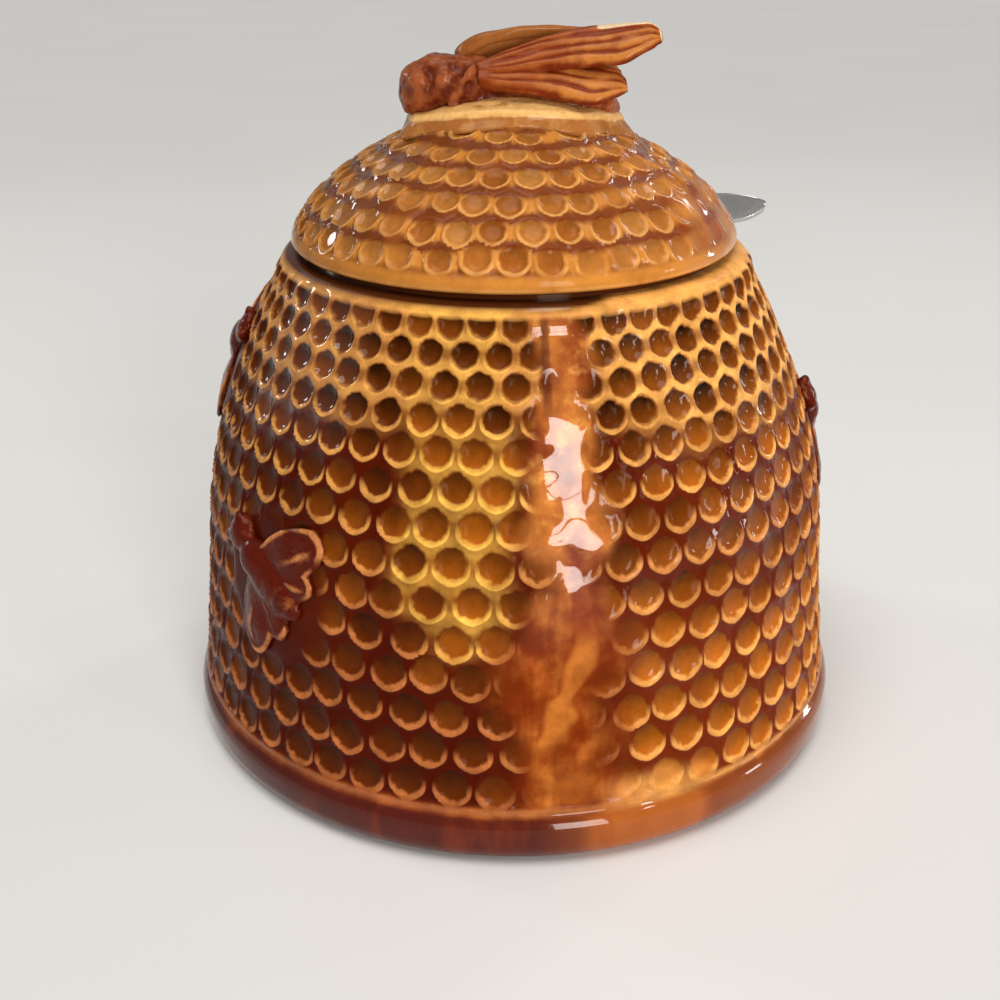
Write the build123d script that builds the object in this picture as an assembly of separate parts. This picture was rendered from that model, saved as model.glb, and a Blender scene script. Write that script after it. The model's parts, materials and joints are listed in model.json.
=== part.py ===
from build123d import *
import os
from math import atan2, cos, degrees, dist, hypot, pi, radians, sin, tan

# Beehive honey pot: a slip-cast pot, a domed lid that lifts off with a bee for its handle, and a metal
# spoon whose bent handle leaves through a notch in the lid's edge.
# Millimetres, +Z up. The origin is the centre of the foot, on the surface that the pot stands on.
# The front of the pot is at -Y. Azimuths are degrees from +X towards +Y.

# ---- Pot ----
pot_height = 88.0  # to the flat top of the rim, which is the lid's seat
wall = 4.6
floor_thickness = 5.0
belly_radius = 60.8  # just above the groove
wall_lean = 5.7  # degrees that the lower wall leans inwards
shoulder_height = 42.0  # where the wall starts to curve in
shoulder_power = 1.9  # how suddenly it curves in
rim_radius = 42.4  # at the top of the shoulder
rim_round = 4.0
rim_width = 8.4  # from the mouth to the top of the shoulder
mouth_depth = 5.0  # straight part of the mouth under the rim
inner_corner = 9.0  # round between the inside wall and the floor
foot_step = 1.0  # how far the foot's band stands out from the belly
foot_edge_round = 4.0
foot_band_height = 8.4
foot_ring_width = 8.0
foot_recess = 1.5
groove_width = 1.6
groove_depth = 0.7

# ---- Lid ----
lid_inset = 3.4  # from the rim's outer radius in to the lid's edge
dome_height = 23.0  # from the underside of the lid's lip to the top of the dome
dome_power = 1.6  # superellipse of the dome
lid_wall = 4.0
lip_gap = 1.0  # from the pot's rim to the underside of the lip
lip_round = 1.2
seat_width = 2.8  # flat ring that the lid rests on
flange_depth = 4.2
flange_wall = 3.4
flange_clearance = 0.8

# ---- Spoon ----
spoon_azimuth = 20.0
spoon_roll = 22.0  # degrees that the spoon leans over to one side in the pot
spoon_rest_gap = 0.3
spoon_seat_out = 1.0  # past the rim's flat, to the line that the spoon rocks on
handle_end_length = 10.6  # from that line out to the tip
handle_end_width = 9.0
handle_inside = 8.0  # from that line in to the bend
handle_taper = 0.6  # how much narrower each edge is, halfway to the tip
handle_thickness = 1.6
bend_radius = 9.0
bend_angle = 68.0
neck_width = 5.0
neck_thickness = 2.4
bowl_length = 38.0
bowl_width = 25.0
bowl_depth = 6.5
bowl_wall = 1.2
bowl_overlap = 1.5  # that the stem runs in over the bowl's end
bowl_floor_gap = 7.0  # from the pot's floor up to the bowl's tip

# ---- Notch in the lid for the spoon's handle ----
notch_corner = 3.0
notch_side_clearance = 3.0
notch_top_clearance = 3.6

# ---- Bee on the lid ----
# Lifts are from the top of the dome up to a centre.
pad_length = 37.0
pad_width = 22.0
pad_rise = 1.6  # above the top of the dome
pad_spread = 9.0  # how much wider the dome is that the pad's top follows
head_size = (9.2, 9.6, 9.2)
head_x = -14.5
head_lift = 2.0
thorax_size = (13.0, 11.0, 9.8)
thorax_x = -7.6
thorax_lift = 3.3
abdomen_size = (26.0, 9.6, 8.4)
abdomen_x = 5.8
abdomen_lift = 1.6
abdomen_droop = 13.0
wing_thickness = 1.7
wing_bow = 2.1  # how far a wing's leading edge bulges
wing_tip_set = 1.0  # how far the tip's corner is set back from the leading edge
wing_tip_width = 3.6
wing_root_width = 2.2
wing_root_sink = 1.2  # how deep a wing's root sits in the thorax
wing_gap = 0.3  # between a forewing and the hindwing under it
forewing_width = 8.0
forewing_slope = 48.0  # degrees that a forewing falls away to its side
near_forewing_length = 30.5
near_forewing_rise = 14.0  # degrees that the wing climbs towards its tip
far_forewing_length = 28.0
far_forewing_rise = 9.5
hindwing_length = 21.5
hindwing_width = 6.4
hindwing_slope = 24.0
hindwing_rise = 1.5
# Where a wing leaves the thorax: degrees back from its widest place, and degrees up from its side.
near_forewing_root = (20.0, 50.0)
far_forewing_root = (0.0, 62.0)
hindwing_root = (20.0, 2.0)

# ---- Bees in relief on the pot ----
# Turns are degrees from heading level to the right, as seen from outside.
# Seen from above, with the head towards +X. Each size is of a whole ellipsoid, half of it in the wall.
relief_body_size = (18.0, 8.4, 4.8)
relief_head_size = (7.4, 7.2, 4.6)
relief_head_ahead = 10.2  # from the middle of the body
relief_forewing_size = (16.0, 7.6, 3.3)
relief_hindwing_size = (12.0, 6.6, 3.1)
relief_wing_root = 3.4  # ahead of the middle of the body
relief_forewing_sweep = 120.0  # degrees from the head
relief_hindwing_sweep = 150.0
front_bee_azimuth = -134.0
front_bee_height = 42.0
front_bee_turn = 148.0
left_bee_azimuth = 178.0
left_bee_below_rim = 19.0
left_bee_turn = 35.0
right_bee_azimuth = 4.0
right_bee_below_rim = 34.0
right_bee_turn = 140.0

# ---- Comb cells: round hollows in staggered rows over the pot's wall and the lid ----
cells_around = 52  # in each row on the pot
comb_azimuth = -92.9  # of the first cell of the pot's top row
comb_rim_gap = 2.7  # from the top of the shoulder down to the top row
comb_foot_gap = 0.3  # from the groove up to the lowest hollows
row_spacing = 0.91  # of the width of a cell
hollow_share = 0.78  # of the width of a cell
hollow_depth = 1.0
seam_azimuths = (-82.0, 99.0)  # smooth strips over the seams of the mould
seam_width = 11.0
bee_clearing = 14.0  # smooth wall round the middle of a bee in relief
lid_hollow_depth = 0.8
lid_cell_width = 5.6  # at most
lid_comb_azimuth = -90.0
# Height of each row on the lid, as a share of the dome's, and the cells in it.
lid_rows = ((0.174, 40), (0.353, 38), (0.514, 34), (0.651, 29), (0.766, 22), (0.862, 15))

# ---- Worked out from the sizes above ----
foot_radius = belly_radius + foot_step
foot_flat_radius = foot_radius - foot_edge_round
groove_top = foot_band_height + groove_width
inner_floor = foot_recess + floor_thickness
shoulder_top = pot_height - rim_round
rim_flat_radius = rim_radius - rim_round
mouth_radius = rim_radius - rim_width
lid_radius = rim_radius - lid_inset
lip_height = pot_height + lip_gap
dome_top = lip_height + dome_height
flange_radius = mouth_radius - flange_clearance
flange_bottom = pot_height - flange_depth
rocking_radius = rim_flat_radius + spoon_seat_out
spoon_lean = radians(spoon_roll)
handle_drop = handle_end_width / 2 * sin(spoon_lean)
handle_height = pot_height + spoon_rest_gap + handle_drop
handle_wide = handle_end_width * cos(spoon_lean) + handle_thickness * sin(spoon_lean)
handle_tall = handle_end_width * sin(spoon_lean) + handle_thickness * cos(spoon_lean)
notch_width = handle_wide + 2 * notch_side_clearance
notch_top = pot_height + spoon_rest_gap + handle_tall + notch_top_clearance
half_turn = radians(45)  # to the middle of a quarter arc


def wall_radius(height, inset=0.0):
    """Outer radius of the pot's wall at a height, less an inset for the inner face."""
    lean = tan(radians(wall_lean))
    leaning = belly_radius - lean * (height - groove_top)
    at_rim = belly_radius - lean * (shoulder_top - groove_top)
    bend = max(0.0, (height - shoulder_height) / (shoulder_top - shoulder_height))
    return leaning - (at_rim - rim_radius) * bend**shoulder_power - inset


def wall_tilt(height, step=0.5):
    """Degrees that the wall leans inwards at a height."""
    return degrees(atan2(wall_radius(height - step) - wall_radius(height + step), 2 * step))


def wall_curve(bottom, top, inset=0.0, count=9):
    """Curve of the wall between two heights, in the XZ plane."""
    heights = [bottom + (top - bottom) * i / (count - 1) for i in range(count)]
    return Spline(*[(wall_radius(z, inset), 0, z) for z in heights])


def dome_curve(radius, height, base, steps=9):
    """Curve of a superellipse dome in the XZ plane, from its edge up to its top on the axis."""
    points = []
    for step in range(steps + 1):
        turn = radians(90 * step / steps)
        out = radius * max(cos(turn), 0) ** (2 / dome_power)
        up = height * sin(turn) ** (2 / dome_power)
        points.append((out, 0, base + up))
    return Spline(*points)


def round_corner(radius, low_radius, low_height, outwards=True):
    """Quarter arc that bulges outwards, rising from its low end (or falling inwards from its high end)."""
    far = radius * sin(half_turn)
    near = radius * (1 - cos(half_turn))
    across, up, end = (far, near, radius) if outwards else (-near, far, -radius)
    return ThreePointArc(
        (low_radius, 0, low_height),
        (low_radius + across, 0, low_height + up),
        (low_radius + end, 0, low_height + radius),
    )


def straight(*corners):
    """Straight edges that join corners given as radius and height."""
    points = [(radius, 0, height) for radius, height in corners]
    return [Line(a, b) for a, b in zip(points, points[1:])]


def turned(*edges):
    """Solid of revolution about Z from a closed outline in the XZ plane."""
    return revolve(make_face(Wire.combine(ShapeList(edges))[0]), Axis.Z, 360)


def ellipsoid(size):
    """Ellipsoid at the origin with the given overall sizes along X, Y and Z."""
    return scale(Sphere(0.5), by=size)


# ---- Comb cells ----
def cell_hollow(width, depth):
    """Ball that leaves a round hollow in a surface through the origin, square to +Z."""
    reach = width * hollow_share / 2
    radius = (reach**2 + depth**2) / (2 * depth)
    return Pos(0, 0, radius - depth) * Sphere(radius)


def on_surface(azimuth, radius, height, tilt):
    """Place on a turned surface that leans inwards by a tilt, with +Z square to it."""
    return Rot(0, 0, azimuth) * Pos(radius, 0, height) * Rot(0, 90 - tilt, 0)


def middle_of(azimuth, radius, height):
    """Point at an azimuth, radius and height."""
    return (radius * cos(radians(azimuth)), radius * sin(radians(azimuth)), height)


def row_azimuths(row, count, first):
    """Azimuths of the cells in a row, each odd row half a cell further round."""
    return [first + 360 * (index + (row % 2) / 2) / count for index in range(count)]


def pot_rows():
    """Height of each row of cells on the pot and the width of its cells, from the top down."""
    rows = []
    height = shoulder_top - comb_rim_gap
    while True:
        width = 2 * pi * wall_radius(height) / cells_around
        if height - width * hollow_share / 2 < groove_top + comb_foot_gap:
            return rows
        rows.append((height, width))
        height -= row_spacing * width * cos(radians(wall_tilt(height)))


def on_seam(azimuth, radius):
    """Whether a place on the wall lies in one of the smooth strips."""
    across = [radius * sin(radians(azimuth - seam)) for seam in seam_azimuths]
    facing = [cos(radians(azimuth - seam)) > 0 for seam in seam_azimuths]
    return any(front and abs(side) < seam_width / 2 for front, side in zip(facing, across))


def pot_hollows():
    """Hollows over the pot's wall, with none on its seams or by its bees."""
    bees = [middle_of(azimuth, wall_radius(height), height) for azimuth, height, _ in relief_places.values()]
    hollows = []
    for row, (height, width) in enumerate(pot_rows()):
        radius = wall_radius(height)
        hollow = cell_hollow(width, hollow_depth)
        for azimuth in row_azimuths(row, cells_around, comb_azimuth):
            by_bee = min(dist(middle_of(azimuth, radius, height), bee) for bee in bees) < bee_clearing
            if not by_bee and not on_seam(azimuth, radius):
                hollows.append(on_surface(azimuth, radius, height, wall_tilt(height)) * hollow)
    return hollows


def lid_hollows():
    """Hollows over the lid's dome, with none under the pad or by the notch."""
    hollows = []
    rise = dome_height - lip_round
    for row, (share, count) in enumerate(lid_rows):
        out = (1 - share**dome_power) ** (1 / dome_power)
        radius = lid_radius * out
        height = lip_height + lip_round + rise * share
        tilt = degrees(atan2(share ** (dome_power - 1) / rise, out ** (dome_power - 1) / lid_radius))
        width = min(2 * pi * radius / count, lid_cell_width)
        hollow = cell_hollow(width, lid_hollow_depth)
        for azimuth in row_azimuths(row, count, lid_comb_azimuth):
            x, y, _ = middle_of(azimuth, radius, height)
            under_pad = hypot(x / (pad_length + width), y / (pad_width + width)) < 0.5
            turn = radians(azimuth - spoon_azimuth)
            beside = cos(turn) > 0 and abs(radius * sin(turn)) < (notch_width + width) / 2
            if not under_pad and not (beside and height < notch_top + width):
                hollows.append(on_surface(azimuth, radius, height, tilt) * hollow)
    return hollows


# ---- Pot ----
def outside_edges():
    """Outline of the pot's outside: round foot, band, groove, wall and rolled rim."""
    groove_radius = belly_radius - groove_depth
    groove_middle = foot_band_height + groove_width / 2
    band_top = (foot_radius, 0, foot_band_height)
    groove = ThreePointArc(band_top, (groove_radius, 0, groove_middle), (belly_radius, 0, groove_top))
    return [
        round_corner(foot_edge_round, foot_flat_radius, 0),
        *straight((foot_radius, foot_edge_round), (foot_radius, foot_band_height)),
        groove,
        wall_curve(groove_top, shoulder_top),
        round_corner(rim_round, rim_radius, shoulder_top, outwards=False),
    ]


def make_pot():
    corner_top = inner_floor + inner_corner
    corner_radius = wall_radius(corner_top, wall) - inner_corner
    mouth_bottom = pot_height - mouth_depth
    collar_bottom = mouth_bottom - wall
    ring_inner = foot_flat_radius - foot_ring_width
    mouth = straight(
        (rim_flat_radius, pot_height),
        (mouth_radius, pot_height),
        (mouth_radius, mouth_bottom),
        (wall_radius(collar_bottom, wall), collar_bottom),
    )
    base = straight(
        (corner_radius, inner_floor),
        (0, inner_floor),
        (0, foot_recess),
        (ring_inner - foot_recess, foot_recess),
        (ring_inner, 0),
        (foot_flat_radius, 0),
    )
    inside = wall_curve(corner_top, collar_bottom, wall)
    corner = round_corner(inner_corner, corner_radius, inner_floor)
    return turned(*outside_edges(), *mouth, inside, corner, *base) - pot_hollows()


def filled_pot():
    """The pot's outside as a full solid, to trim what lies on its wall."""
    closing = straight((rim_flat_radius, pot_height), (0, pot_height), (0, 0), (foot_flat_radius, 0))
    return turned(*outside_edges(), *closing)


# ---- Lid ----
def lid_outside():
    """The lid's outside as a full solid, down to the underside of its lip."""
    edge_top = lip_height + lip_round
    lip_flat = lid_radius - lip_round
    dome = dome_curve(lid_radius, dome_height - lip_round, edge_top)
    closing = straight((0, dome_top), (0, lip_height), (lip_flat, lip_height))
    return turned(dome, *closing, round_corner(lip_round, lip_flat, lip_height))


def lid_hollow():
    """The space inside the dome and the flange."""
    hollow_radius = lid_radius - lid_wall - lip_round
    hollow_top = dome_top - lid_wall
    dome = dome_curve(hollow_radius, hollow_top - lip_height, lip_height)
    closing = straight((0, hollow_top), (0, lip_height), (hollow_radius, lip_height))
    throat = extrude(Circle(flange_radius - flange_wall), amount=lip_height - flange_bottom)
    return turned(dome, *closing) + Pos(0, 0, flange_bottom) * throat


def handle_notch():
    """Opening through the lid's edge and flange that the spoon's handle passes through."""
    bottom = flange_bottom - 2 * notch_corner
    outline = RectangleRounded(notch_width, notch_top - bottom, notch_corner)
    opening = Plane.YZ * Pos(0, (notch_top + bottom) / 2) * outline
    return Rot(0, 0, spoon_azimuth) * extrude(opening, amount=lid_radius * 2)


def make_lid():
    seat = Pos(0, 0, pot_height) * extrude(Circle(mouth_radius + seat_width), amount=lip_gap)
    flange = Pos(0, 0, flange_bottom) * extrude(Circle(flange_radius), amount=lip_height - flange_bottom)
    return lid_outside() + seat + flange - lid_hollow() - handle_notch() - lid_hollows()


# ---- Bee on the lid ----
def make_pad():
    """Oval pad whose underside follows the dome and whose top follows a slightly flatter one."""
    spread = lid_radius + pad_spread
    top = dome_top + pad_rise
    closing = straight((0, top), (0, lip_height), (spread, lip_height))
    cap = turned(dome_curve(spread, top - lip_height, lip_height), *closing)
    oval = Pos(0, 0, lip_height) * extrude(Ellipse(pad_length / 2, pad_width / 2), amount=2 * dome_height)
    return (cap & oval) - lid_outside()


def make_bee_body(pad):
    head = Pos(head_x, 0, dome_top + head_lift) * ellipsoid(head_size)
    thorax = Pos(thorax_x, 0, dome_top + thorax_lift) * ellipsoid(thorax_size)
    abdomen = Pos(abdomen_x, 0, dome_top + abdomen_lift) * Rot(0, abdomen_droop, 0) * ellipsoid(abdomen_size)
    return head + thorax + abdomen - pad - lid_outside()


def wing_blade(length, width, clearance=0.0):
    """Leaf-shaped blade along +X, its width towards -Y. A clearance thickens it on both faces."""
    tip_start = (length, -wing_tip_set)
    tip_end = (length - wing_tip_set, -wing_tip_set - wing_tip_width)
    root_end = (wing_root_width, -wing_root_width)
    leading = Spline((0, 0), (length / 2, wing_bow), tip_start)
    tip = ThreePointArc(tip_start, (length + wing_tip_set / 2, -wing_tip_set - wing_tip_width / 2), tip_end)
    trailing = Spline(tip_end, (length * 0.6, -width), root_end)
    root = Line(root_end, (0, 0))
    face = make_face(Wire.combine(ShapeList([leading, tip, trailing, root]))[0])
    return Pos(0, 0, -clearance) * extrude(face, amount=wing_thickness + 2 * clearance)


def place_wing(blade, far, slope, rise, root):
    """Set a blade in the thorax so that it slopes down to its side, on the near or the far side."""
    back, up = (radians(angle) for angle in root)
    reach_x, reach_y, reach_z = (size / 2 - wing_root_sink for size in thorax_size)
    place = Pos(
        thorax_x + reach_x * sin(back),
        -reach_y * cos(back) * cos(up),
        dome_top + thorax_lift + reach_z * cos(back) * sin(up),
    )
    placed = place * Rot(0, -rise, 0) * Rot(slope, 0, 0) * blade
    return mirror(placed, Plane.XZ) if far else placed


def make_forewing(far, clearance=0.0):
    length = far_forewing_length if far else near_forewing_length
    rise = far_forewing_rise if far else near_forewing_rise
    root = far_forewing_root if far else near_forewing_root
    return place_wing(wing_blade(length, forewing_width, clearance), far, forewing_slope, rise, root)


def make_hindwing(far):
    blade = wing_blade(hindwing_length, hindwing_width)
    whole = place_wing(blade, far, hindwing_slope, hindwing_rise, hindwing_root)
    return whole - make_forewing(far, wing_gap)


# ---- Spoon ----
def handle_plate(neck_half):
    """Flat end of the handle: a pointed oval that narrows towards the bend."""
    half = handle_end_width / 2
    middle = handle_end_length / 2
    upper = Spline((0, half), (middle, half - handle_taper), (handle_end_length, 0))
    back = [
        Line((0, half), (-handle_inside, neck_half)),
        Line((-handle_inside, neck_half), (-handle_inside, -neck_half)),
        Line((-handle_inside, -neck_half), (0, -half)),
    ]
    outline = Wire.combine(ShapeList([upper, mirror(upper, Plane.XZ), *back]))[0]
    return extrude(make_face(outline), amount=handle_thickness)


def make_spoon():
    """Plate, bend, stem and bowl along one line, then rolled over and set on the rim."""
    neck_half = (handle_end_width + neck_width) / 4
    middle = handle_thickness / 2
    bend_centre = Pos(-handle_inside, 0, middle - bend_radius)
    bend_face = Pos(-handle_inside, 0, middle) * Rot(0, 90, 0) * Rectangle(handle_thickness, 2 * neck_half)
    bend = revolve(bend_face, Axis((-handle_inside, 0, middle - bend_radius), (0, 1, 0)), -bend_angle)

    angle = radians(bend_angle)
    reach_down = (handle_height - inner_floor - bowl_floor_gap) / cos(spoon_lean)
    straight_length = (reach_down - bend_radius * (1 - cos(angle))) / sin(angle)
    stem_length = straight_length - bowl_length + bowl_overlap

    stem_start = bend_centre * Rot(0, -bend_angle, 0) * Pos(0, 0, bend_radius)
    across = Rot(0, -90, 0)
    start_face = stem_start * across * Rectangle(handle_thickness, 2 * neck_half)
    end_face = stem_start * Pos(-stem_length, 0, 0) * across * Rectangle(neck_thickness, neck_width)
    stem = loft([start_face, end_face])

    bowl_place = stem_start * Pos(bowl_length / 2 - straight_length, 0, 0)
    outer_size = (bowl_length, bowl_width, 2 * bowl_depth)
    inner_size = tuple(size - 2 * bowl_wall for size in outer_size)
    lower_half = Pos(0, 0, -bowl_depth) * Box(2 * bowl_length, 2 * bowl_width, 2 * bowl_depth)
    bowl = bowl_place * (ellipsoid(outer_size) & lower_half)
    spoon = handle_plate(neck_half) + bend + stem + bowl - bowl_place * ellipsoid(inner_size)
    on_rim = Rot(0, 0, spoon_azimuth) * Pos(rocking_radius, 0, handle_height) * Rot(spoon_roll, 0, 0)
    return on_rim * spoon


# ---- Bees in relief on the pot ----
def make_relief_bee(azimuth, height, turn, pot_outside):
    """Bee seen from above, turned and laid on the wall."""
    wings = (
        (relief_forewing_size, relief_forewing_sweep),
        (relief_hindwing_size, relief_hindwing_sweep),
    )
    bee = ellipsoid(relief_body_size) + Pos(relief_head_ahead, 0, 0) * ellipsoid(relief_head_size)
    for side in (-1, 1):
        for wing_size, sweep in wings:
            wing = Pos(wing_size[0] / 2, 0, 0) * ellipsoid(wing_size)
            bee += Pos(relief_wing_root, 0, 0) * Rot(0, 0, side * sweep) * wing
    on_wall = on_surface(azimuth, wall_radius(height), height, wall_tilt(height))
    return on_wall * Rot(0, 0, 90 + turn) * bee - pot_outside


relief_places = {
    "front": (front_bee_azimuth, front_bee_height, front_bee_turn),
    "left": (left_bee_azimuth, pot_height - left_bee_below_rim, left_bee_turn),
    "right": (right_bee_azimuth, pot_height - right_bee_below_rim, right_bee_turn),
}
pad = make_pad()
bee_body = make_bee_body(pad)
nodes = {
    "pot_body": make_pot(),
    "lid_shell": make_lid(),
    "finial_pad": pad,
    "finial_bee_body": bee_body,
    "spoon": make_spoon(),
}
for name, far in (("near", False), ("far", True)):
    nodes[f"finial_forewing_{name}"] = make_forewing(far) - bee_body
    nodes[f"finial_hindwing_{name}"] = make_hindwing(far) - bee_body - pad

pot_outside = filled_pot()
for name, place in relief_places.items():
    nodes[f"relief_bee_{name}"] = make_relief_bee(*place, pot_outside)

os.makedirs("parts", exist_ok=True)
for name, solid in nodes.items():
    export_step(solid, f"parts/{name}.step")
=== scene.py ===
"""A glazed beehive honey pot, with a bee on its lid and a spoon in its notch, as a small add-on."""

import json
from math import atan2, cos, pi, radians, sin, tan
from typing import NamedTuple

import bmesh
import bpy
import numpy as np
from mathutils import Matrix, Vector, noise
from mathutils.kdtree import KDTree


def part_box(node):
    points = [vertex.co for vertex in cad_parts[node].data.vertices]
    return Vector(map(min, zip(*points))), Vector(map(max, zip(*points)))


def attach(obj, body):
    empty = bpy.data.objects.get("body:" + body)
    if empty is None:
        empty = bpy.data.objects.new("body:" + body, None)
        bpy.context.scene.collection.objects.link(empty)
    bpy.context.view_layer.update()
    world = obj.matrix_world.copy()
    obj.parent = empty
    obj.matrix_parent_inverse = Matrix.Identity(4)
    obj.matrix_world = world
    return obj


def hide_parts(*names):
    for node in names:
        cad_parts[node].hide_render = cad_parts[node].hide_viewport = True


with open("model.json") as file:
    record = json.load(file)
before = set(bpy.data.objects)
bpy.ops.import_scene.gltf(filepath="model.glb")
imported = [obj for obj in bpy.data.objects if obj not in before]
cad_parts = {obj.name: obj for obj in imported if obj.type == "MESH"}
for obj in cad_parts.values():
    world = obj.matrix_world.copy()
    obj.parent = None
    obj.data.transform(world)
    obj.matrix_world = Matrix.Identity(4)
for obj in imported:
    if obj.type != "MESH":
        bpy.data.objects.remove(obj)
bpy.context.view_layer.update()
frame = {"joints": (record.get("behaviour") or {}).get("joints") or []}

bl_info = {
    "name": "Glazed beehive honey pot",
    "version": (1, 0, 0),
    "blender": (4, 5, 0),
    "location": "View3D > Sidebar > Honey pot",
    "description": "Builds a glazed beehive honey pot with a bee on its lid and a spoon",
    "category": "Object",
}

MM = 0.001
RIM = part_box("pot_body")[1].z
LID_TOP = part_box("lid_shell")[1].z
FOOT_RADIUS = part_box("pot_body")[1].x
LID_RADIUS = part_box("lid_shell")[1].y
FLANGE_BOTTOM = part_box("lid_shell")[0].z
ROCK = next(joint for joint in frame["joints"] if joint["name"] == "spoon_rock")

ROW_STEP = 0.91  # from one row of cells to the next, in widths of a cell
CORNERS = 6  # more gives the cells sharper corners
BACK_SEAM = 189  # degrees round from the front to the smooth seam at the back
DOME_POWER = 1.6  # 2 gives a round dome, and less a pointed one
LID_RING = 0.12  # how much of a full ring the ridge of a scallop is
PAD_SIDE = 1.2  # how much the pad's drop grows from its edge to its foot

# Rows of scallops up the lid: height as a share of the dome's, and scallops around it.
LID_ROWS = ((0.174, 40), (0.353, 38), (0.514, 34), (0.651, 29), (0.766, 22), (0.862, 15), (0.936, 9))

# Lumps of the bee on the lid, in millimetres from the dome's top: middle, whole sizes, and tilt in degrees.
THORAX = (-7.6, 0, 3.3)
ABDOMEN = (5.8, 0, 1.6)
DROOP = 13
BEE_LUMPS = (
    ((-14.9, 0, 2.2), (9.6, 9.4, 9.6), 0),
    (THORAX, (12.6, 10.8, 9.6), 0),
    ((-11.2, 0, 3.2), (8.6, 9.8, 9.6), 0),
    ((-12.4, 0, 4.9), (9.0, 7.0, 6.4), 0),
    ((-3.0, 0, 2.2), (10.0, 8.6, 7.4), 0),
    (ABDOMEN, (25.6, 9.4, 8.2), DROOP),
)
# The same for lumps that it has on both sides: eye, two folds behind it, and feeler.
SIDE_LUMPS = (
    ((-15.6, 3.6, 3.4), (4.0, 2.8, 4.6), 0),
    ((-8.6, 4.9, 3.2), (1.9, 2.2, 8.4), 32),
    ((-12.2, 4.2, 3.4), (2.4, 2.0, 5.6), 32),
    ((-17.6, 1.2, 0.2), (2.6, 2.2, 4.4), 0),
)
WING_REACH = (5.3, 4.3, 3.7)  # from the thorax's middle to a wing's root, along each axis

# Bees in relief: azimuth from +X, height on the wall, and turn from heading level to the right.
RELIEF_BEES = {"front": (-134, 42, 148), "left": (178, 69, 35), "right": (4, 54, 140)}
# Their abdomen, thorax and head: how far ahead each is, and its sizes. Then each wing's sweep and sizes.
RELIEF_LUMPS = ((0, (17.6, 8.0, 4.6)), (4.6, (8.2, 7.6, 5.0)), (10.2, (7.2, 7.0, 4.4)))
RELIEF_WINGS = ((120, (17.0, 9.6, 2.6)), (150, (13.6, 7.8, 2.2)))

# Lamps beside the window, all facing the pot's middle: place, width, height and power.
POT_MIDDLE = (0, 0, 0.055)
SIDE_LAMPS = {
    "left": ((-0.85, 0.4, 0.42), 0.13, 0.18, 0.16),
    "right": ((1.0, -0.15, 0.12), 0.12, 0.14, 0.16),
    "side": ((0.92, 0.42, 0.2), 0.06, 0.2, 0.11),
    "high": ((0.62, -0.56, 0.62), 0.06, 0.06, 0.066),
    "back": ((0.68, 0.67, 0.67), 0.12, 0.26, 0.132),
}


def colour(red, green, blue):
    """A screen colour, each part from 0 to 255, as the linear colour that a shader takes."""
    parts = [part / 255 for part in (red, green, blue)]
    return tuple(part / 12.92 if part <= 0.04045 else ((part + 0.055) / 1.055) ** 2.4 for part in parts)


def size_prop(name, description, default):
    """A length, with its default in millimetres."""
    return bpy.props.FloatProperty(name=name, description=description, default=default * MM, unit="LENGTH")


def angle_prop(name, description, default):
    """An angle, with its default in degrees."""
    turn = radians(default)
    return bpy.props.FloatProperty(name=name, description=description, default=turn, unit="ROTATION")


def colour_prop(name, description, default):
    return bpy.props.FloatVectorProperty(
        name=name, description=description, default=default, subtype="COLOR", size=3, min=0, max=1
    )


class PotSizes(bpy.types.PropertyGroup):
    wall: size_prop("Wall", "Thickness of the pot's wall", 4.6)
    foot_edge: size_prop("Foot edge", "Rounding of the foot's edge", 4)
    foot_band: size_prop("Foot band", "Height of the plain band round the foot", 8.4)
    foot_step: size_prop("Foot step", "How far the foot's band stands out from the belly", 1)
    groove_width: size_prop("Groove width", "Width of the groove over the foot's band", 1.6)
    groove_depth: size_prop("Groove depth", "Depth of the groove over the foot's band", 0.7)
    wall_lean: angle_prop("Wall lean", "How much the lower wall leans inwards", 5.7)
    shoulder: size_prop("Shoulder", "Height at which the wall starts to curve in", 42)
    rim_radius: size_prop("Rim radius", "Radius at the top of the shoulder", 42.4)
    rim_round: size_prop("Rim round", "Rounding of the rim", 4)
    mouth_radius: size_prop("Mouth radius", "Radius of the mouth", 34)
    cells: bpy.props.IntProperty(name="Cells", description="Comb cells around the pot", default=52)
    comb_gap: size_prop("Comb gap", "From the top of the shoulder down to the comb's top row", 2.7)
    comb_turn: angle_prop("Comb turn", "From the front to the first cell of the comb's top row", -2.9)
    relief: size_prop("Relief", "Depth of the comb's cells", 1.0)
    uneven: size_prop("Unevenness", "How far the outside wanders inwards", 0.35)
    mouth_depth: size_prop("Mouth depth", "Depth of the mouth's straight part", 5)
    mouth_round: size_prop("Mouth round", "Rounding of the mouth's edge", 0.8)
    floor_height: size_prop("Floor height", "Height of the floor inside", 6.5)
    floor_corner: size_prop("Floor corner", "Rounding between the floor and the wall inside", 9)
    recess: size_prop("Recess", "How far the underside is raised inside its ring", 1.5)
    ring_inside: size_prop("Foot ring", "Inner radius of the ring that the pot stands on", 49.8)


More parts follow.
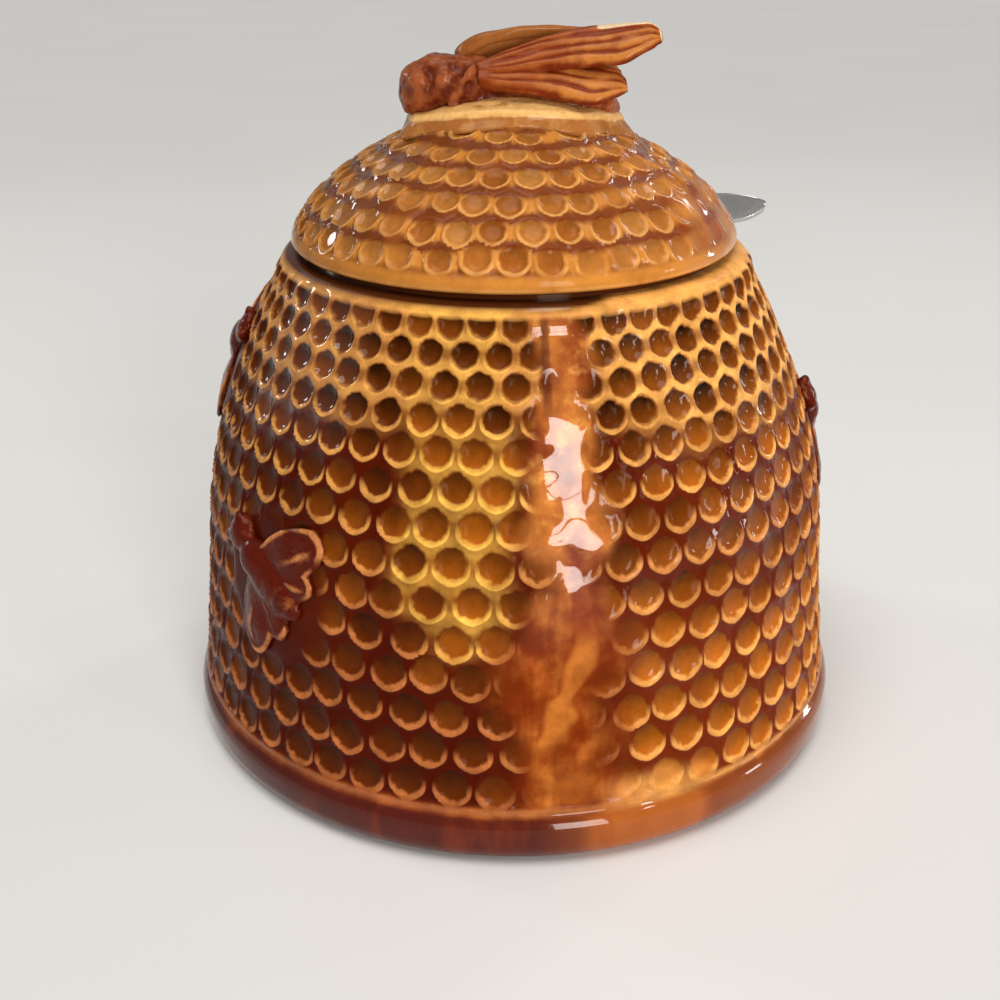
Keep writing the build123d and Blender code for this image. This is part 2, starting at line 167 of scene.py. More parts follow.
class LidSizes(bpy.types.PropertyGroup):
    wall: size_prop("Wall", "Thickness of the dome", 4)
    lip_gap: size_prop("Lip gap", "Gap between the pot's rim and the lid's lip", 1)
    lip_round: size_prop("Lip round", "Rounding of the lip", 1.2)
    seat_width: size_prop("Seat width", "Width of the flat ring that the lid rests on", 2.8)
    flange_wall: size_prop("Flange wall", "Thickness of the flange in the mouth", 3.4)
    flange_gap: size_prop("Flange gap", "Gap between the flange and the mouth", 0.8)
    notch_width: size_prop("Notch width", "Width of the notch for the spoon", 14.94)
    notch_top: size_prop("Notch top", "Top of the notch above the pot's rim", 8.75)
    notch_corner: size_prop("Notch corner", "Rounding of the notch's corners", 3)
    relief: size_prop("Relief", "Depth of the scallops", 0.9)
    scallop: size_prop("Scallop", "Largest width of a scallop", 5.6)
    flange_edge: size_prop("Flange edge", "Bevel on the flange's lower edge", 0.8)


class BeeSizes(bpy.types.PropertyGroup):
    pad_length: size_prop("Pad length", "Length of the oval pad", 37)
    pad_width: size_prop("Pad width", "Width of the oval pad", 22)
    pad_rise: size_prop("Pad rise", "Height of the pad above the dome", 1.6)
    pad_spread: size_prop("Pad spread", "How much wider the dome is that the pad's top follows", 9)
    pad_edge: size_prop("Pad edge", "Height of the rounded edge of the pad's top", 1.1)
    pad_sink: size_prop("Pad sink", "How far the pad's side goes into the dome", 0.6)
    wing_thickness: size_prop("Wing thickness", "Thickness of a wing", 1.7)
    forewing_length: size_prop("Forewing length", "Length of the near forewing", 30.5)
    forewing_width: size_prop("Forewing width", "Width of a forewing", 8)
    hindwing_length: size_prop("Hindwing length", "Length of a hindwing", 24.5)
    hindwing_width: size_prop("Hindwing width", "Width of a hindwing", 8.2)
    skin: size_prop("Skin", "Size of the smallest form in the modelled bees", 0.4)


class SpoonSizes(bpy.types.PropertyGroup):
    end_length: size_prop("End length", "From the line that the spoon rocks on to the handle's tip", 10.6)
    end_width: size_prop("End width", "Width of the handle's flat end", 9)
    thickness: size_prop("Thickness", "Thickness of the handle", 1.6)
    inside: size_prop("Inside", "From the line that the spoon rocks on in to the bend", 8)
    bend_radius: size_prop("Bend radius", "Radius of the bend", 9)
    bend_angle: angle_prop("Bend angle", "Angle of the bend", 68)
    roll: angle_prop("Roll", "How much the spoon leans to its side", 22)
    neck_width: size_prop("Neck width", "Width of the stem at the bowl", 5)
    neck_thickness: size_prop("Neck thickness", "Thickness of the stem at the bowl", 2.4)
    bowl_length: size_prop("Bowl length", "Length of the bowl", 38)
    bowl_width: size_prop("Bowl width", "Width of the bowl", 25)
    bowl_depth: size_prop("Bowl depth", "Depth of the bowl", 6.5)
    bowl_wall: size_prop("Bowl wall", "Thickness of the bowl", 1.2)
    bowl_floor: size_prop("Bowl height", "Height of the bowl's lowest end over the foot", 13.5)
    bowl_overlap: size_prop("Bowl overlap", "How far the stem reaches into the bowl", 4)
    end_taper: size_prop("End taper", "How much the flat end narrows on each side halfway out", 0.6)
    rest_gap: size_prop("Rest gap", "Gap between the spoon and the pot's rim", 0.3)


class GlazeColours(bpy.types.PropertyGroup):
    rim_tan: colour_prop("Ridge, tan", "Where the glaze breaks over a ridge", colour(224, 160, 80))
    rim_brown: colour_prop("Ridge, brown", "Thin ridges of the dark, lower cells", colour(184, 108, 58))
    rim_gold: colour_prop("Ridge, gold", "Ridges of the brightest patch", colour(248, 190, 84))
    floor_dark: colour_prop("Cell, dark", "Pooled glaze in the dark cells", colour(88, 36, 6))
    floor_warm: colour_prop("Cell, warm", "Pooled glaze in the warm cells", colour(168, 90, 20))
    ground_dark: colour_prop("Ground, dark", "Grooves between the dark cells", colour(74, 14, 2))
    ground_warm: colour_prop("Ground, warm", "Grooves between the warm cells", colour(112, 38, 8))
    streak_dark: colour_prop("Seam, dark", "Dark runs of glaze on smooth places", colour(132, 48, 10))
    streak_light: colour_prop("Seam, light", "Light runs of glaze on smooth places", colour(200, 116, 46))
    foot_dark: colour_prop("Foot, dark", "Dark glaze on the foot", colour(78, 20, 8))
    foot_warm: colour_prop("Foot, warm", "Warm glaze on the foot", colour(162, 84, 28))
    lid_floor: colour_prop("Lid, cell", "Pooled glaze in the lid's scallops", colour(160, 88, 28))
    lid_rim: colour_prop("Lid, ridge", "Ridges on the lid", colour(220, 154, 82))
    # Painted shadow: the dark colour of the lines under each row of the lid's scallops.
    lid_groove_shadow: colour_prop("Lid, groove", "Grooves on the lid", colour(106, 32, 8))
    lid_edge: colour_prop("Lid, edge", "Plain band at the lid's edge", colour(200, 128, 52))
    bee_dark: colour_prop("Bee, dark", "Glaze in the bee's hollows", colour(96, 34, 16))
    bee_light: colour_prop("Bee, light", "Glaze over the bee's high places", colour(152, 80, 42))
    wing_groove: colour_prop("Wing, groove", "Glaze between the wings' ridges", colour(120, 40, 12))
    wing_ridge: colour_prop("Wing, ridge", "Glaze over the wings' ridges", colour(164, 84, 36))
    wing_gold: colour_prop("Wing, gold", "Golden ends of the wings' ridges", colour(200, 122, 54))
    wing_worn: colour_prop("Wing, worn", "Pale worn edge at a wing's tip", colour(238, 208, 168))
    pad_gold: colour_prop("Pad", "Golden glaze on the pad's top", colour(234, 180, 108))
    pad_side: colour_prop("Pad, side", "Brown glaze down the pad's side", colour(166, 102, 48))
    relief_dark: colour_prop("Relief, dark", "Glaze on the bees in relief", colour(84, 20, 6))
    relief_edge: colour_prop("Relief, edge", "Glaze that breaks over their edges", colour(196, 122, 68))
    steel: colour_prop("Steel", "The spoon's polished steel", (0.56, 0.54, 0.51))
    # Painted shadow: a dark colour laid where the lid meets the rim, where shade falls between the two.
    gap: colour_prop("Under the lid", "Dark glaze where the lid meets the rim", colour(74, 34, 12))
    clay: colour_prop("Clay", "Bare fired clay under the foot", colour(214, 196, 168))


# ---- Maths on arrays ----
def ease(low, high, value):
    """0 at low and 1 at high, with soft ends. High may be under low."""
    part = np.clip((value - low) / (high - low), 0, 1)
    return part * part * (3 - 2 * part)


def span(value, start, full, fade, end):
    """1 from full to fade and 0 outside start and end, with soft ends."""
    return ease(start, full, value) * ease(end, fade, value)


def lumps(points, size, seed):
    """Smooth noise, about -0.7 to 0.7, with lumps of a size."""
    shift = Vector((seed * 7.3, seed * 3.1, seed * 5.7))
    return np.array([noise.noise(Vector(point) / size + shift) for point in points])


def wrapped(angles):
    return (angles + pi) % (2 * pi) - pi


def polar(points):
    """Azimuth from the front (-Y), growing to the right, and radius, of an array of points."""
    return np.arctan2(points[:, 0], -points[:, 1]), np.hypot(points[:, 0], points[:, 1])


def side_and_height(points):
    """Degrees round from the front and millimetres up, which the glaze's masks are laid out in."""
    return np.degrees(polar(points)[0]), points[:, 2] / MM


def rotated(degrees, axis):
    """A turn about an axis, in degrees."""
    return Matrix.Rotation(radians(degrees), 4, axis)


def shifted(x, y=0.0, z=0.0):
    """A move, in millimetres."""
    return Matrix.Translation((x * MM, y * MM, z * MM))


# ---- Meshes ----
def link(name, data):
    """A new object in the scene."""
    made = bpy.data.objects.new(name, data)
    bpy.context.scene.collection.objects.link(made)
    return made


def new_piece(name, vertices, faces, body, slot, *nodes):
    """A smooth-shaded piece that rides on a body and stands for CAD nodes."""
    mesh = bpy.data.meshes.new(name)
    mesh.from_pydata([tuple(v) for v in vertices], [], faces)
    mesh.validate()
    piece = link(name, mesh)
    finish_piece(piece, body, slot, *nodes)
    return piece


def finish_piece(piece, body, slot, *nodes):
    mesh = piece.data
    mesh.polygons.foreach_set("use_smooth", np.ones(len(mesh.polygons), bool))
    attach(piece, body)
    if nodes:
        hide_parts(*nodes)


def ring_part(start, count, parts, step):
    """Vertices of one of the equal parts of a ring, with both of its ends."""
    first = step * count // parts
    return [start + (first + k) % count for k in range(count // parts + 1)]


def turned(profile, counts):
    """Vertices and faces of a solid of revolution about Z. Counts are the vertices around, at each point."""
    vertices, faces, starts = [], [], []
    for (radius, height), count in zip(profile, counts):
        starts.append(len(vertices))
        turns = [2 * pi * step / count for step in range(count)]
        vertices += [(radius * sin(turn), -radius * cos(turn), height) for turn in turns]
    for ring in range(len(profile) - 1):
        low, high = counts[ring], counts[ring + 1]
        below, above = starts[ring], starts[ring + 1]
        few, many = min(low, high), max(low, high)
        if few > 1:
            for step in range(few):
                upper = ring_part(above, high, few, step)
                faces.append(ring_part(below, low, few, step) + upper[::-1])
            continue
        hub, edge = (below, above) if low == 1 else (above, below)
        for step in range(many):
            pair = [edge + step, edge + (step + 1) % many]
            faces.append([hub] + (pair[::-1] if low == 1 else pair))
    return np.array(vertices), faces


def tube_faces(first, rows, around, flip=False, open_start=False):
    """Faces of a tube of rings of vertices, closed at its end and, unless it is open, at its start."""
    faces = []
    for row in range(rows - 1):
        low = first + row * around
        high = low + around
        for k in range(around):
            after = (k + 1) % around
            face = (low + k, high + k, high + after, low + after)
            faces.append((face[0], *face[:0:-1]) if flip else face)
    last = first + (rows - 1) * around
    start, end = list(range(first, first + around)), list(range(last, last + around))
    if not open_start:
        faces.append(start[::-1] if flip else start)
    faces.append(end if flip else end[::-1])
    return faces


def points_of(mesh):
    points = np.empty(len(mesh.vertices) * 3)
    mesh.vertices.foreach_get("co", points)
    return points.reshape(-1, 3)


def normals_of(mesh):
    normals = np.empty(len(mesh.vertices) * 3)
    mesh.vertices.foreach_get("normal", normals)
    return normals.reshape(-1, 3)


def store(mesh, **layers):
    """Keep numbers for each vertex, by name, for the glaze to read."""
    for name, values in layers.items():
        layer = mesh.attributes.new(name, "FLOAT", "POINT")
        layer.data.foreach_set("value", np.asarray(values, np.float32))


def move(mesh, points):
    mesh.vertices.foreach_set("co", points.reshape(-1))
    mesh.update()


# ---- Comb pattern ----
def from_middle(across, up):
    """Distance from a cell's middle: 0.5 halfway to each of its six neighbours, and round near the middle."""
    slant = up * 0.75 / ROW_STEP
    sides = (across, across / 2 + slant, across / 2 - slant)
    return sum(side**CORNERS for side in sides) ** (1 / CORNERS)


class Comb:
    """Comb cells on a turned surface: where each is, how wide, and how much of a full ring its ridge is."""

    def __init__(self, path, cells):
        self.path = path
        self.azimuth, self.along, self.pitch, self.ring, self.luck = (np.array(c) for c in zip(*cells))
        tree = KDTree(len(cells))
        radius, height = self.at(self.along)
        for index in range(len(cells)):
            turn = self.azimuth[index]
            tree.insert((radius[index] * sin(turn), -radius[index] * cos(turn), height[index]), index)
        tree.balance()
        self.tree = tree

    def at(self, along):
        radius, height, length = self.path
        return np.interp(along, length, radius), np.interp(along, length, height)

    def along_at(self, height):
        return np.interp(height, self.path[1], self.path[2])

    def nearest(self, points):
        return np.array([self.tree.find(point)[1] for point in points])

    def local(self, points, cell):
        """Place of points in their cells, in widths of a cell, with the second number growing upwards."""
        azimuth, radius = polar(points)
        across = wrapped(azimuth - self.azimuth[cell]) * radius / self.pitch[cell]
        up = (self.along_at(points[:, 2]) - self.along[cell]) / self.pitch[cell]
        return across, up

    def height(self, points, cell):
        """Relief from 0, the bottom of a cell's hollow, to 1, the crest of its ridge."""
        across, up = self.local(points, cell)
        full = self.ring[cell]
        away = from_middle(across, up)
        hollow = ease(0.46, 0.2, away)
        kept = 1 - (1 - full) * ease(0.4, 0.53, away)
        crest = 0.5 + 0.5 * np.maximum(ease(0.3, -0.1, up), full) * kept
        groove = 0.3 * ease(0.45, 0.54, away) * (1 - full)
        return crest * (1 - hollow) - groove

    def mark_faces(self, mesh, points):
        """Keep each corner's place in its face's cell, and each face's luck, for the glaze to read."""
        count = len(mesh.polygons)
        centres = np.empty(count * 3)
        mesh.polygons.foreach_get("center", centres)
        totals = np.empty(count, np.int32)
        mesh.polygons.foreach_get("loop_total", totals)
        corners = np.empty(len(mesh.loops), np.int32)
        mesh.loops.foreach_get("vertex_index", corners)
        cell = self.nearest(centres.reshape(-1, 3))
        across, up = self.local(points[corners], np.repeat(cell, totals))
        layer = mesh.uv_layers.new(name="cell")
        layer.data.foreach_set("uv", np.stack([across, up], 1).astype(np.float32).reshape(-1))
        luck = mesh.attributes.new("luck", "FLOAT", "FACE")
        luck.data.foreach_set("value", self.luck[cell].astype(np.float32))


def path_of(radius, height):
    """Radius, height and length along, of a profile that rises."""
    length = np.concatenate([[0], np.cumsum(np.hypot(np.diff(radius), np.diff(height)))])
    return radius, height, length


# ---- Shader maths ----
def maths(operation):
    """A method that adds the Math node of an operation on a shade and any others."""

    def method(shade, *others):
        inputs = dict(enumerate((shade, *others)))
        return shade.recipe.node("ShaderNodeMath", {"operation": operation}, inputs)

    return method


class Shade:
    """A shader socket that takes sums and products. Each adds the Math node that works it out."""

    def __init__(self, recipe, socket):
        self.recipe = recipe
        self.socket = socket

    __add__ = __radd__ = maths("ADD")
    __sub__ = maths("SUBTRACT")
    __mul__ = __rmul__ = maths("MULTIPLY")
    size = maths("ABSOLUTE")
    power = maths("POWER")
    most = maths("MAXIMUM")
    least = maths("MINIMUM")

    def __rsub__(self, other):
        return self.recipe.node("ShaderNodeMath", {"operation": "SUBTRACT"}, {0: other, 1: self})

    def ease(self, low, high):
        """0 at low and 1 at high, with soft ends."""
        settings = {"interpolation_type": "SMOOTHSTEP"}
        first, last = min(low, high), max(low, high)
        rising = self.recipe.node("ShaderNodeMapRange", settings, {0: self, 1: first, 2: last})
        return 1 - rising if low > high else rising


class Recipe:
    """A material under construction."""

    def __init__(self, name):
        self.material = bpy.data.materials.new(name)
        self.material.use_nodes = True
        self.tree = self.material.node_tree
        self.tree.nodes.clear()
        self.surface = self.tree.nodes.new("ShaderNodeBsdfPrincipled")
        output = self.tree.nodes.new("ShaderNodeOutputMaterial")
        self.tree.links.new(self.surface.outputs[0], output.inputs[0])

    def node(self, kind, settings=None, inputs=None, output=0):
        """A node of a kind, with its settings made first and then its sockets' values or links."""
        made = self.tree.nodes.new(kind)
        for name, value in (settings or {}).items():
            setattr(made, name, value)
        for name, value in (inputs or {}).items():
            self.feed(made.inputs[name], value)
        return Shade(self, made.outputs[output])

    def feed(self, socket, value):
        if isinstance(value, Shade):
            self.tree.links.new(value.socket, socket)
        elif socket.type == "RGBA" and len(value) == 3:
            socket.default_value = (*value, 1)
        else:
            socket.default_value = value

    def stored(self, name):
        """A number kept on the mesh."""
        return self.node("ShaderNodeAttribute", {"attribute_name": name}, output="Fac")

    def place(self):
        return self.node("ShaderNodeNewGeometry", output="Position")

    def stretched(self, x, y, z):
        """Position with each axis scaled, for noise that runs along one of them."""
        settings = {"operation": "MULTIPLY"}
        return self.node("ShaderNodeVectorMath", settings, {0: self.place(), 1: (x, y, z)})

    def cloud(self, size, detail=2.0, where=None):
        """Noise from 0 to 1 with lumps of a size."""
        inputs = {"Vector": where or self.place(), "Scale": 1 / size, "Detail": detail}
        return self.node("ShaderNodeTexNoise", None, inputs)

    def blend(self, part, first, second):
        """First colour at 0 and second at 1."""
        settings = {"data_type": "RGBA"}
        return self.node("ShaderNodeMix", settings, {0: part, 6: first, 7: second}, output=2)

    def over(self, base, *layers):
        """Colours laid over a base in turn, each where its mask is 1."""
        for mask, tint in layers:
            base = self.blend(mask, base, tint)
        return base

    def dim(self, shade, part):
        """A colour times a number."""
        return self.node("ShaderNodeVectorMath", {"operation": "SCALE"}, {0: shade, "Scale": part})

    def bump(self, height, distance, strength):
        inputs = {"Height": height, "Distance": distance, "Strength": strength}
        self.feed(self.surface.inputs["Normal"], self.node("ShaderNodeBump", None, inputs))

    def set(self, **values):
        """Feed the surface's sockets. An underscore stands for a space."""
        for name, value in values.items():
            self.feed(self.surface.inputs[name.replace("_", " ").title().replace("Ior", "IOR")], value)
        return self.material


def cell_masks(recipe):
    """Ridge and floor of the comb's cells, each from 0 to 1, and how far up its cell a point is."""
    cell = recipe.node("ShaderNodeUVMap", {"uv_map": "cell"})
    across = recipe.node("ShaderNodeSeparateXYZ", None, {0: cell})
    up = Shade(recipe, across.socket.node.outputs[1])
    slant = up * (0.75 / ROW_STEP)
    sides = (across, across * 0.5 + slant, across * 0.5 - slant)
    away = sum(side.size().power(CORNERS) for side in sides).power(1 / CORNERS)
    rough = away + recipe.cloud(1.6 * MM) * 0.2 - 0.1
    full = recipe.stored("ring")
    network = rough.ease(0.35, 0.45) * (up.size().ease(0.06, 0.3) * 0.6 + 0.4)
    rim = (rough - up * 0.1).ease(0.32, 0.4) * away.ease(0.475, 0.43) * up.ease(0.14, -0.22)
    fired = 1 - recipe.stored("melt")
    ridge = (rim + (network - rim) * full) * fired
    floor = rough.ease(0.4, 0.33) * fired
    return ridge, floor, up


def glossy(recipe, base, roughness, coat=0.2):
    """Wet-looking glaze over a base colour."""
    recipe.set(coat_weight=coat, coat_roughness=0.03, coat_ior=1.42, ior=1.33)
    recipe.set(specular_ior_level=0.1, specular_tint=(1, 0.6, 0.3))
    return recipe.set(base_color=base, roughness=roughness)


class Clouds(NamedTuple):
    """Noises of the pot's glaze: mottling, fine grain, patches and runs down the wall."""

    mottle: Shade
    fine: Shade
    patchy: Shade
    run: Shade


def ground_colour(recipe, tints, clouds):
    """Glaze in the grooves between the cells."""
    part = recipe.stored("warm").most(recipe.stored("ring") * 0.7)
    ground = recipe.blend(part, tints.ground_dark, tints.ground_warm)
    golden = recipe.stored("gold") * clouds.mottle.ease(0.3, 0.7) * 0.3
    return recipe.blend(golden, ground, tints.floor_warm)


def pooled_colour(recipe, tints, clouds, up):
    """Glaze that pools on the floors of the cells, with painted shade that darkens the top of each, under the
    ridge above.
    """
    gold, luck = recipe.stored("gold"), recipe.stored("luck")
    part = (recipe.stored("warm") + luck * 0.3 - 0.15).most(gold * (luck * 0.7 + 0.1))
    pooled = recipe.blend(part, tints.floor_dark, tints.floor_warm)
    # Painted shade: each floor darker towards its top, under the ridge above.
    light = 0.38 + clouds.fine * 0.4 + clouds.patchy * 0.4 + luck * 0.24 - up * 1.3
    return recipe.dim(pooled, light - recipe.stored("ring") * 0.32 + gold * 0.1)


def broken_colour(recipe, tints, clouds):
    """Glaze that breaks light over the ridges."""
    ring, warm = recipe.stored("ring"), recipe.stored("warm")
    part = (ring + warm * 0.9).most(recipe.stored("upper"))
    broken = recipe.blend(part, tints.rim_brown, tints.rim_tan)
    broken = recipe.blend(recipe.stored("gold"), broken, tints.rim_gold)
    return recipe.dim(broken, 0.6 + clouds.fine * 0.5 + clouds.patchy * 0.5 + ring * 0.08 + warm * 0.1)


def streak_colour(recipe, tints, clouds):
    """Glaze that ran down the smooth seams, with its drips."""
    upper = recipe.stored("upper")
    runs = (clouds.run + clouds.mottle * 0.6 + upper * 0.25 - 0.45).ease(0.28, 0.72)
    light = runs.most(recipe.stored("drip") * (0.2 + clouds.mottle * 1.2)).least(1.0)
    streak = recipe.blend(light, tints.streak_dark, tints.streak_light)
    streak = recipe.blend(clouds.patchy.ease(0.5, 0.75) * upper * 0.7, streak, tints.rim_tan)
    return recipe.dim(streak, 0.36 + clouds.mottle * 0.55 + clouds.patchy * 0.45 + upper * 0.12)


def foot_colour(recipe, tints, clouds):
    """Glaze on the foot's band."""
    foot = recipe.blend(recipe.stored("foot_warm"), tints.foot_dark, tints.foot_warm)
    return recipe.blend(clouds.run.ease(0.5, 0.75) * 0.5, foot, tints.streak_dark)


def pot_glaze(tints):
    """Amber glaze that pools dark in the cells and breaks light over their ridges, with painted shade on the
    pot's left, at the top of each cell and under the lid.
    """
    recipe = Recipe("pot_glaze")
    ridge, floor, up = cell_masks(recipe)
    mottle = recipe.cloud(5 * MM, 4.0)
    fine = recipe.cloud(1.2 * MM, 4.0)
    patchy = recipe.cloud(2.6 * MM, 3.0)
    run = recipe.cloud(1.0, 4.0, recipe.stretched(170, 170, 38))
    clouds = Clouds(mottle, fine, patchy, run)
    broken = broken_colour(recipe, tints, clouds)
    bare = recipe.stored("bare")
    base = recipe.over(
        ground_colour(recipe, tints, clouds),
        (floor, pooled_colour(recipe, tints, clouds, up)),
        (ridge * (0.2 + mottle * 0.7 + patchy * 0.6).least(1.0), broken),
        (recipe.stored("seam"), streak_colour(recipe, tints, clouds)),
        (recipe.stored("band") * (0.5 + mottle), broken),
        (recipe.stored("foot"), foot_colour(recipe, tints, clouds)),
    )
    speck = recipe.cloud(0.45 * MM, 3.0)
    # Painted shade: the left of the pot is dimmed, as if less lit.
    base = recipe.dim(base, 0.68 + mottle * 0.4 + speck * 0.24 - recipe.stored("shade") * 0.16)
    # Over these: the dark line down the seam, painted shadow on the rim under the lid, and bare clay under
    # the foot.
    line, gap = recipe.stored("line"), recipe.stored("gap")
    base = recipe.over(base, (line, tints.ground_dark), (gap, tints.gap), (bare, tints.clay))
    recipe.bump(fine * 0.3 + mottle * 0.5 + run * recipe.stored("melt") * 0.6, 0.3 * MM, 0.5)
    shine = recipe.stored("shine")
    dull = (1 - shine) * 0.16
    return glossy(recipe, base, bare * 0.6 + dull + 0.07 + mottle * 0.05, 0.03 + shine * 0.94)


def lid_glaze(tints):
    """The lid's lighter glaze, with dark lines of painted shadow between its rows of scallops, and painted
    shade on its left, under its lip and in the tops of its scallops.
    """
    recipe = Recipe("lid_glaze")
    ridge, floor, up = cell_masks(recipe)
    mottle = recipe.cloud(5 * MM, 4.0)
    fine = recipe.cloud(1.2 * MM, 4.0)
    run = recipe.cloud(1.0, 4.0, recipe.stretched(150, 150, 60))
    groove = recipe.blend(recipe.stored("warm"), tints.lid_groove_shadow, tints.ground_warm)
    pooled = recipe.blend(recipe.stored("luck") * 0.4, tints.lid_floor, tints.rim_tan)
    base = recipe.over(
        tints.lid_edge,
        # Painted shadow under each row of scallops, at the top and bottom of each cell.
        (up.size().ease(0.12, 0.4), groove),
        # Painted shade: each scallop's floor darker towards its top.
        (floor, recipe.dim(pooled, 0.66 + fine * 0.5 - up * 0.8)),
        (ridge * (0.6 + mottle * 0.7).least(1.0), tints.lid_rim),
        (recipe.stored("melt"), recipe.blend(run.ease(0.3, 0.72), tints.streak_dark, tints.lid_edge)),
        (recipe.stored("band") * (0.5 + mottle), tints.lid_edge),
    )
    speck = recipe.cloud(0.45 * MM, 3.0)
    # Painted shade: the left of the lid is dimmed, as if less lit.
    base = recipe.dim(base, 0.66 + mottle * 0.42 + speck * 0.24 - recipe.stored("shade") * 0.26)
    lit_edge = recipe.stored("edge_line") * mottle.ease(0.3, 0.55)
    # Painted shadow on the lid's underside, at and under its lip.
    base = recipe.over(base, (lit_edge, tints.lid_rim), (recipe.stored("gap"), tints.gap))
    recipe.bump(fine * 0.3 + mottle * 0.5, 0.3 * MM, 0.5)
    shine = recipe.stored("shine")
    return glossy(recipe, base, (1 - shine) * 0.08 + 0.05 + mottle * 0.06, 0.15 + shine * 0.8)


# ---- Pot ----
def wall_radius(pot, height):
    """Outer radius of the pot's wall at a height."""
    groove_top = pot.foot_band + pot.groove_width
    shoulder_top = RIM - pot.rim_round
    belly = FOOT_RADIUS - pot.foot_step
    leaning = belly - tan(pot.wall_lean) * (height - groove_top)
    at_rim = belly - tan(pot.wall_lean) * (shoulder_top - groove_top)
    bend = np.clip((height - pot.shoulder) / (shoulder_top - pot.shoulder), 0, None)
    return leaning - (at_rim - pot.rim_radius) * bend**1.9


def arc(centre, radius, start, end, count):
    """Points on an arc, its angles in degrees from level and outwards."""
    turns = np.radians(np.linspace(start, end, count))
    return [(centre[0] + radius * cos(turn), centre[1] + radius * sin(turn)) for turn in turns]


def pot_profile(pot):
    """Outside of the pot from the foot's edge to the rim's flat, and then the inside down to the floor."""
    edge, lip, corner = pot.foot_edge, pot.mouth_round, pot.floor_corner
    groove_top = pot.foot_band + pot.groove_width
    shoulder_top = RIM - pot.rim_round
    belly = FOOT_RADIUS - pot.foot_step
    rounding = pot.foot_step / (1 - cos(pi / 4))
    outside = arc((FOOT_RADIUS - edge, edge), edge, -90, 0, 8)
    outside += arc((FOOT_RADIUS - rounding, pot.foot_band - rounding * sin(pi / 4)), rounding, 0, 45, 7)
    for part in (0.25, 0.5, 0.75):
        outside.append((belly - pot.groove_depth * sin(part * pi), pot.foot_band + pot.groove_width * part))
    heights = np.linspace(groove_top, shoulder_top, 126)
    outside += [(wall_radius(pot, height), height) for height in heights]
    outside += arc((pot.rim_radius - pot.rim_round, shoulder_top), pot.rim_round, 0, 90, 9)[1:]
    mouth_bottom = RIM - pot.mouth_depth
    inside = arc((pot.mouth_radius + lip, RIM - lip), lip, 90, 180, 4)
    inside.append((pot.mouth_radius, mouth_bottom))
    heights = np.linspace(mouth_bottom - pot.wall, pot.floor_height + corner, 20)
    inside += [(wall_radius(pot, height) - pot.wall, height) for height in heights]
    middle = wall_radius(pot, heights[-1]) - pot.wall - corner
    inside += arc((middle, heights[-1]), corner, 0, -90, 7)[1:]
    return outside, inside


def seam_at(points, wander):
    """1 on the two smooth seams, in front and at the back, where the glaze filled the cells."""
    side, height = side_and_height(points)
    low = ease(50, 36, height)
    middle = 9.0 - 2.0 * low + 1.5 * wander
    half = 3.9 + 2.7 * low + 1.2 * span(height, 50, 60, 66, 76)
    half = half + 3.0 * lumps(points, 5 * MM, 8) + 2.6 * lumps(points, 11 * MM, 9)
    front = ease(half + 3.2 + 3 * low, half - 2.6 - low, np.abs(side - middle))
    from_back = np.degrees(wrapped(np.radians(side - BACK_SEAM)))
    ragged = from_back + wander * 3 + 3 * lumps(points, 6 * MM, 10)
    return np.maximum(front, 0.85 * ease(5.6, 1.2, np.abs(ragged)))


def pot_fields(points):
    """How much the glaze is a seam, warm, golden and ringed by full ridges over the pot's outside. The warmth
    is lowered low on the left as painted shade.
    """
    side, height = side_and_height(points)
    wander = lumps(points, 14 * MM, 1)
    warm = 0.1 + 0.2 * wander + 0.14 * lumps(points, 30 * MM, 2)
    right = span(side, 13, 24, 92, 118)
    warm += right * (0.3 + 0.5 * ease(52, 28, height))
    # Painted shade: less warmth low on the left, as if that side were less lit.
    warm -= 0.2 * ease(46, 20, height) * span(side, -150, -120, -6, 8)
    warm += 0.35 * ease(110, 140, np.abs(side)) * ease(70, 30, height)
    patch = ease(-23.5, -18.5, side + wander * 5) * ease(1.5, -3.5, side + wander * 4)
    gold = patch * ease(37, 44, height + wander * 7) * (0.45 + 0.55 * ease(74, 66, height))
    full = (0.75 + 0.25 * right) * ease(67 - 3 * right, 77 - 4 * right, height + 4 * wander)
    ring = np.maximum(full, gold * 0.4)
    return seam_at(points, wander), np.clip(warm, 0, 1), np.clip(gold, 0, 1), np.clip(ring, 0, 1)


def shine_at(points):
    """How wet the glaze looks: 1 where it ran or was laid on thick."""
    side, height = side_and_height(points)
    runs = ease(-0.1, 0.35, lumps(points, 12 * MM, 14))
    right = span(side, 15, 23, 54, 64) * ease(24, 36, height) * runs
    left = span(side, -66, -56, -38, -28) * ease(60, 70, height)
    return np.clip(0.5 * right + left + 0.7 * ease(12, 8, height), 0, 1)


def drip_at(points):
    """1 on a drip of light glaze that slants down the lower seam, and on fainter ones under it."""
    side, height = side_and_height(points)
    side = side + 2.2 * lumps(points, 4 * MM, 16)
    height = height + 2 * lumps(points, 3 * MM, 17)
    middle = np.interp(height, (22, 40), (5.6, 11.2))
    long = ease(2.9, 1.4, np.abs(side - middle)) * span(height, 20, 23, 36, 44)
    low = 0.6 * ease(5, 2, np.abs(side - 9)) * span(height, 10, 13, 16, 20)
    return np.maximum(long, low)


def near_bees(points):
    """1 beside a bee in relief and 0 away from it."""
    close = np.zeros(len(points))
    for name in ("front", "left", "right"):
        low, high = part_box(f"relief_bee_{name}")
        away = np.linalg.norm(points - np.array((low + high) / 2), axis=1)
        close = np.maximum(close, ease(15 * MM, 11 * MM, away))
    return close


def pot_rows(pot):
    """Height of each row of cells and the width of its cells, from the top down."""
    rows = []
    height = RIM - pot.rim_round - pot.comb_gap
    while height > pot.foot_band + 3.5 * MM:
        width = 2 * pi * wall_radius(pot, height) / pot.cells
        rows.append((height, width))
        drop = wall_radius(pot, height - 0.5 * MM) - wall_radius(pot, height + 0.5 * MM)
        height -= ROW_STEP * width * cos(atan2(drop, MM))
    return rows


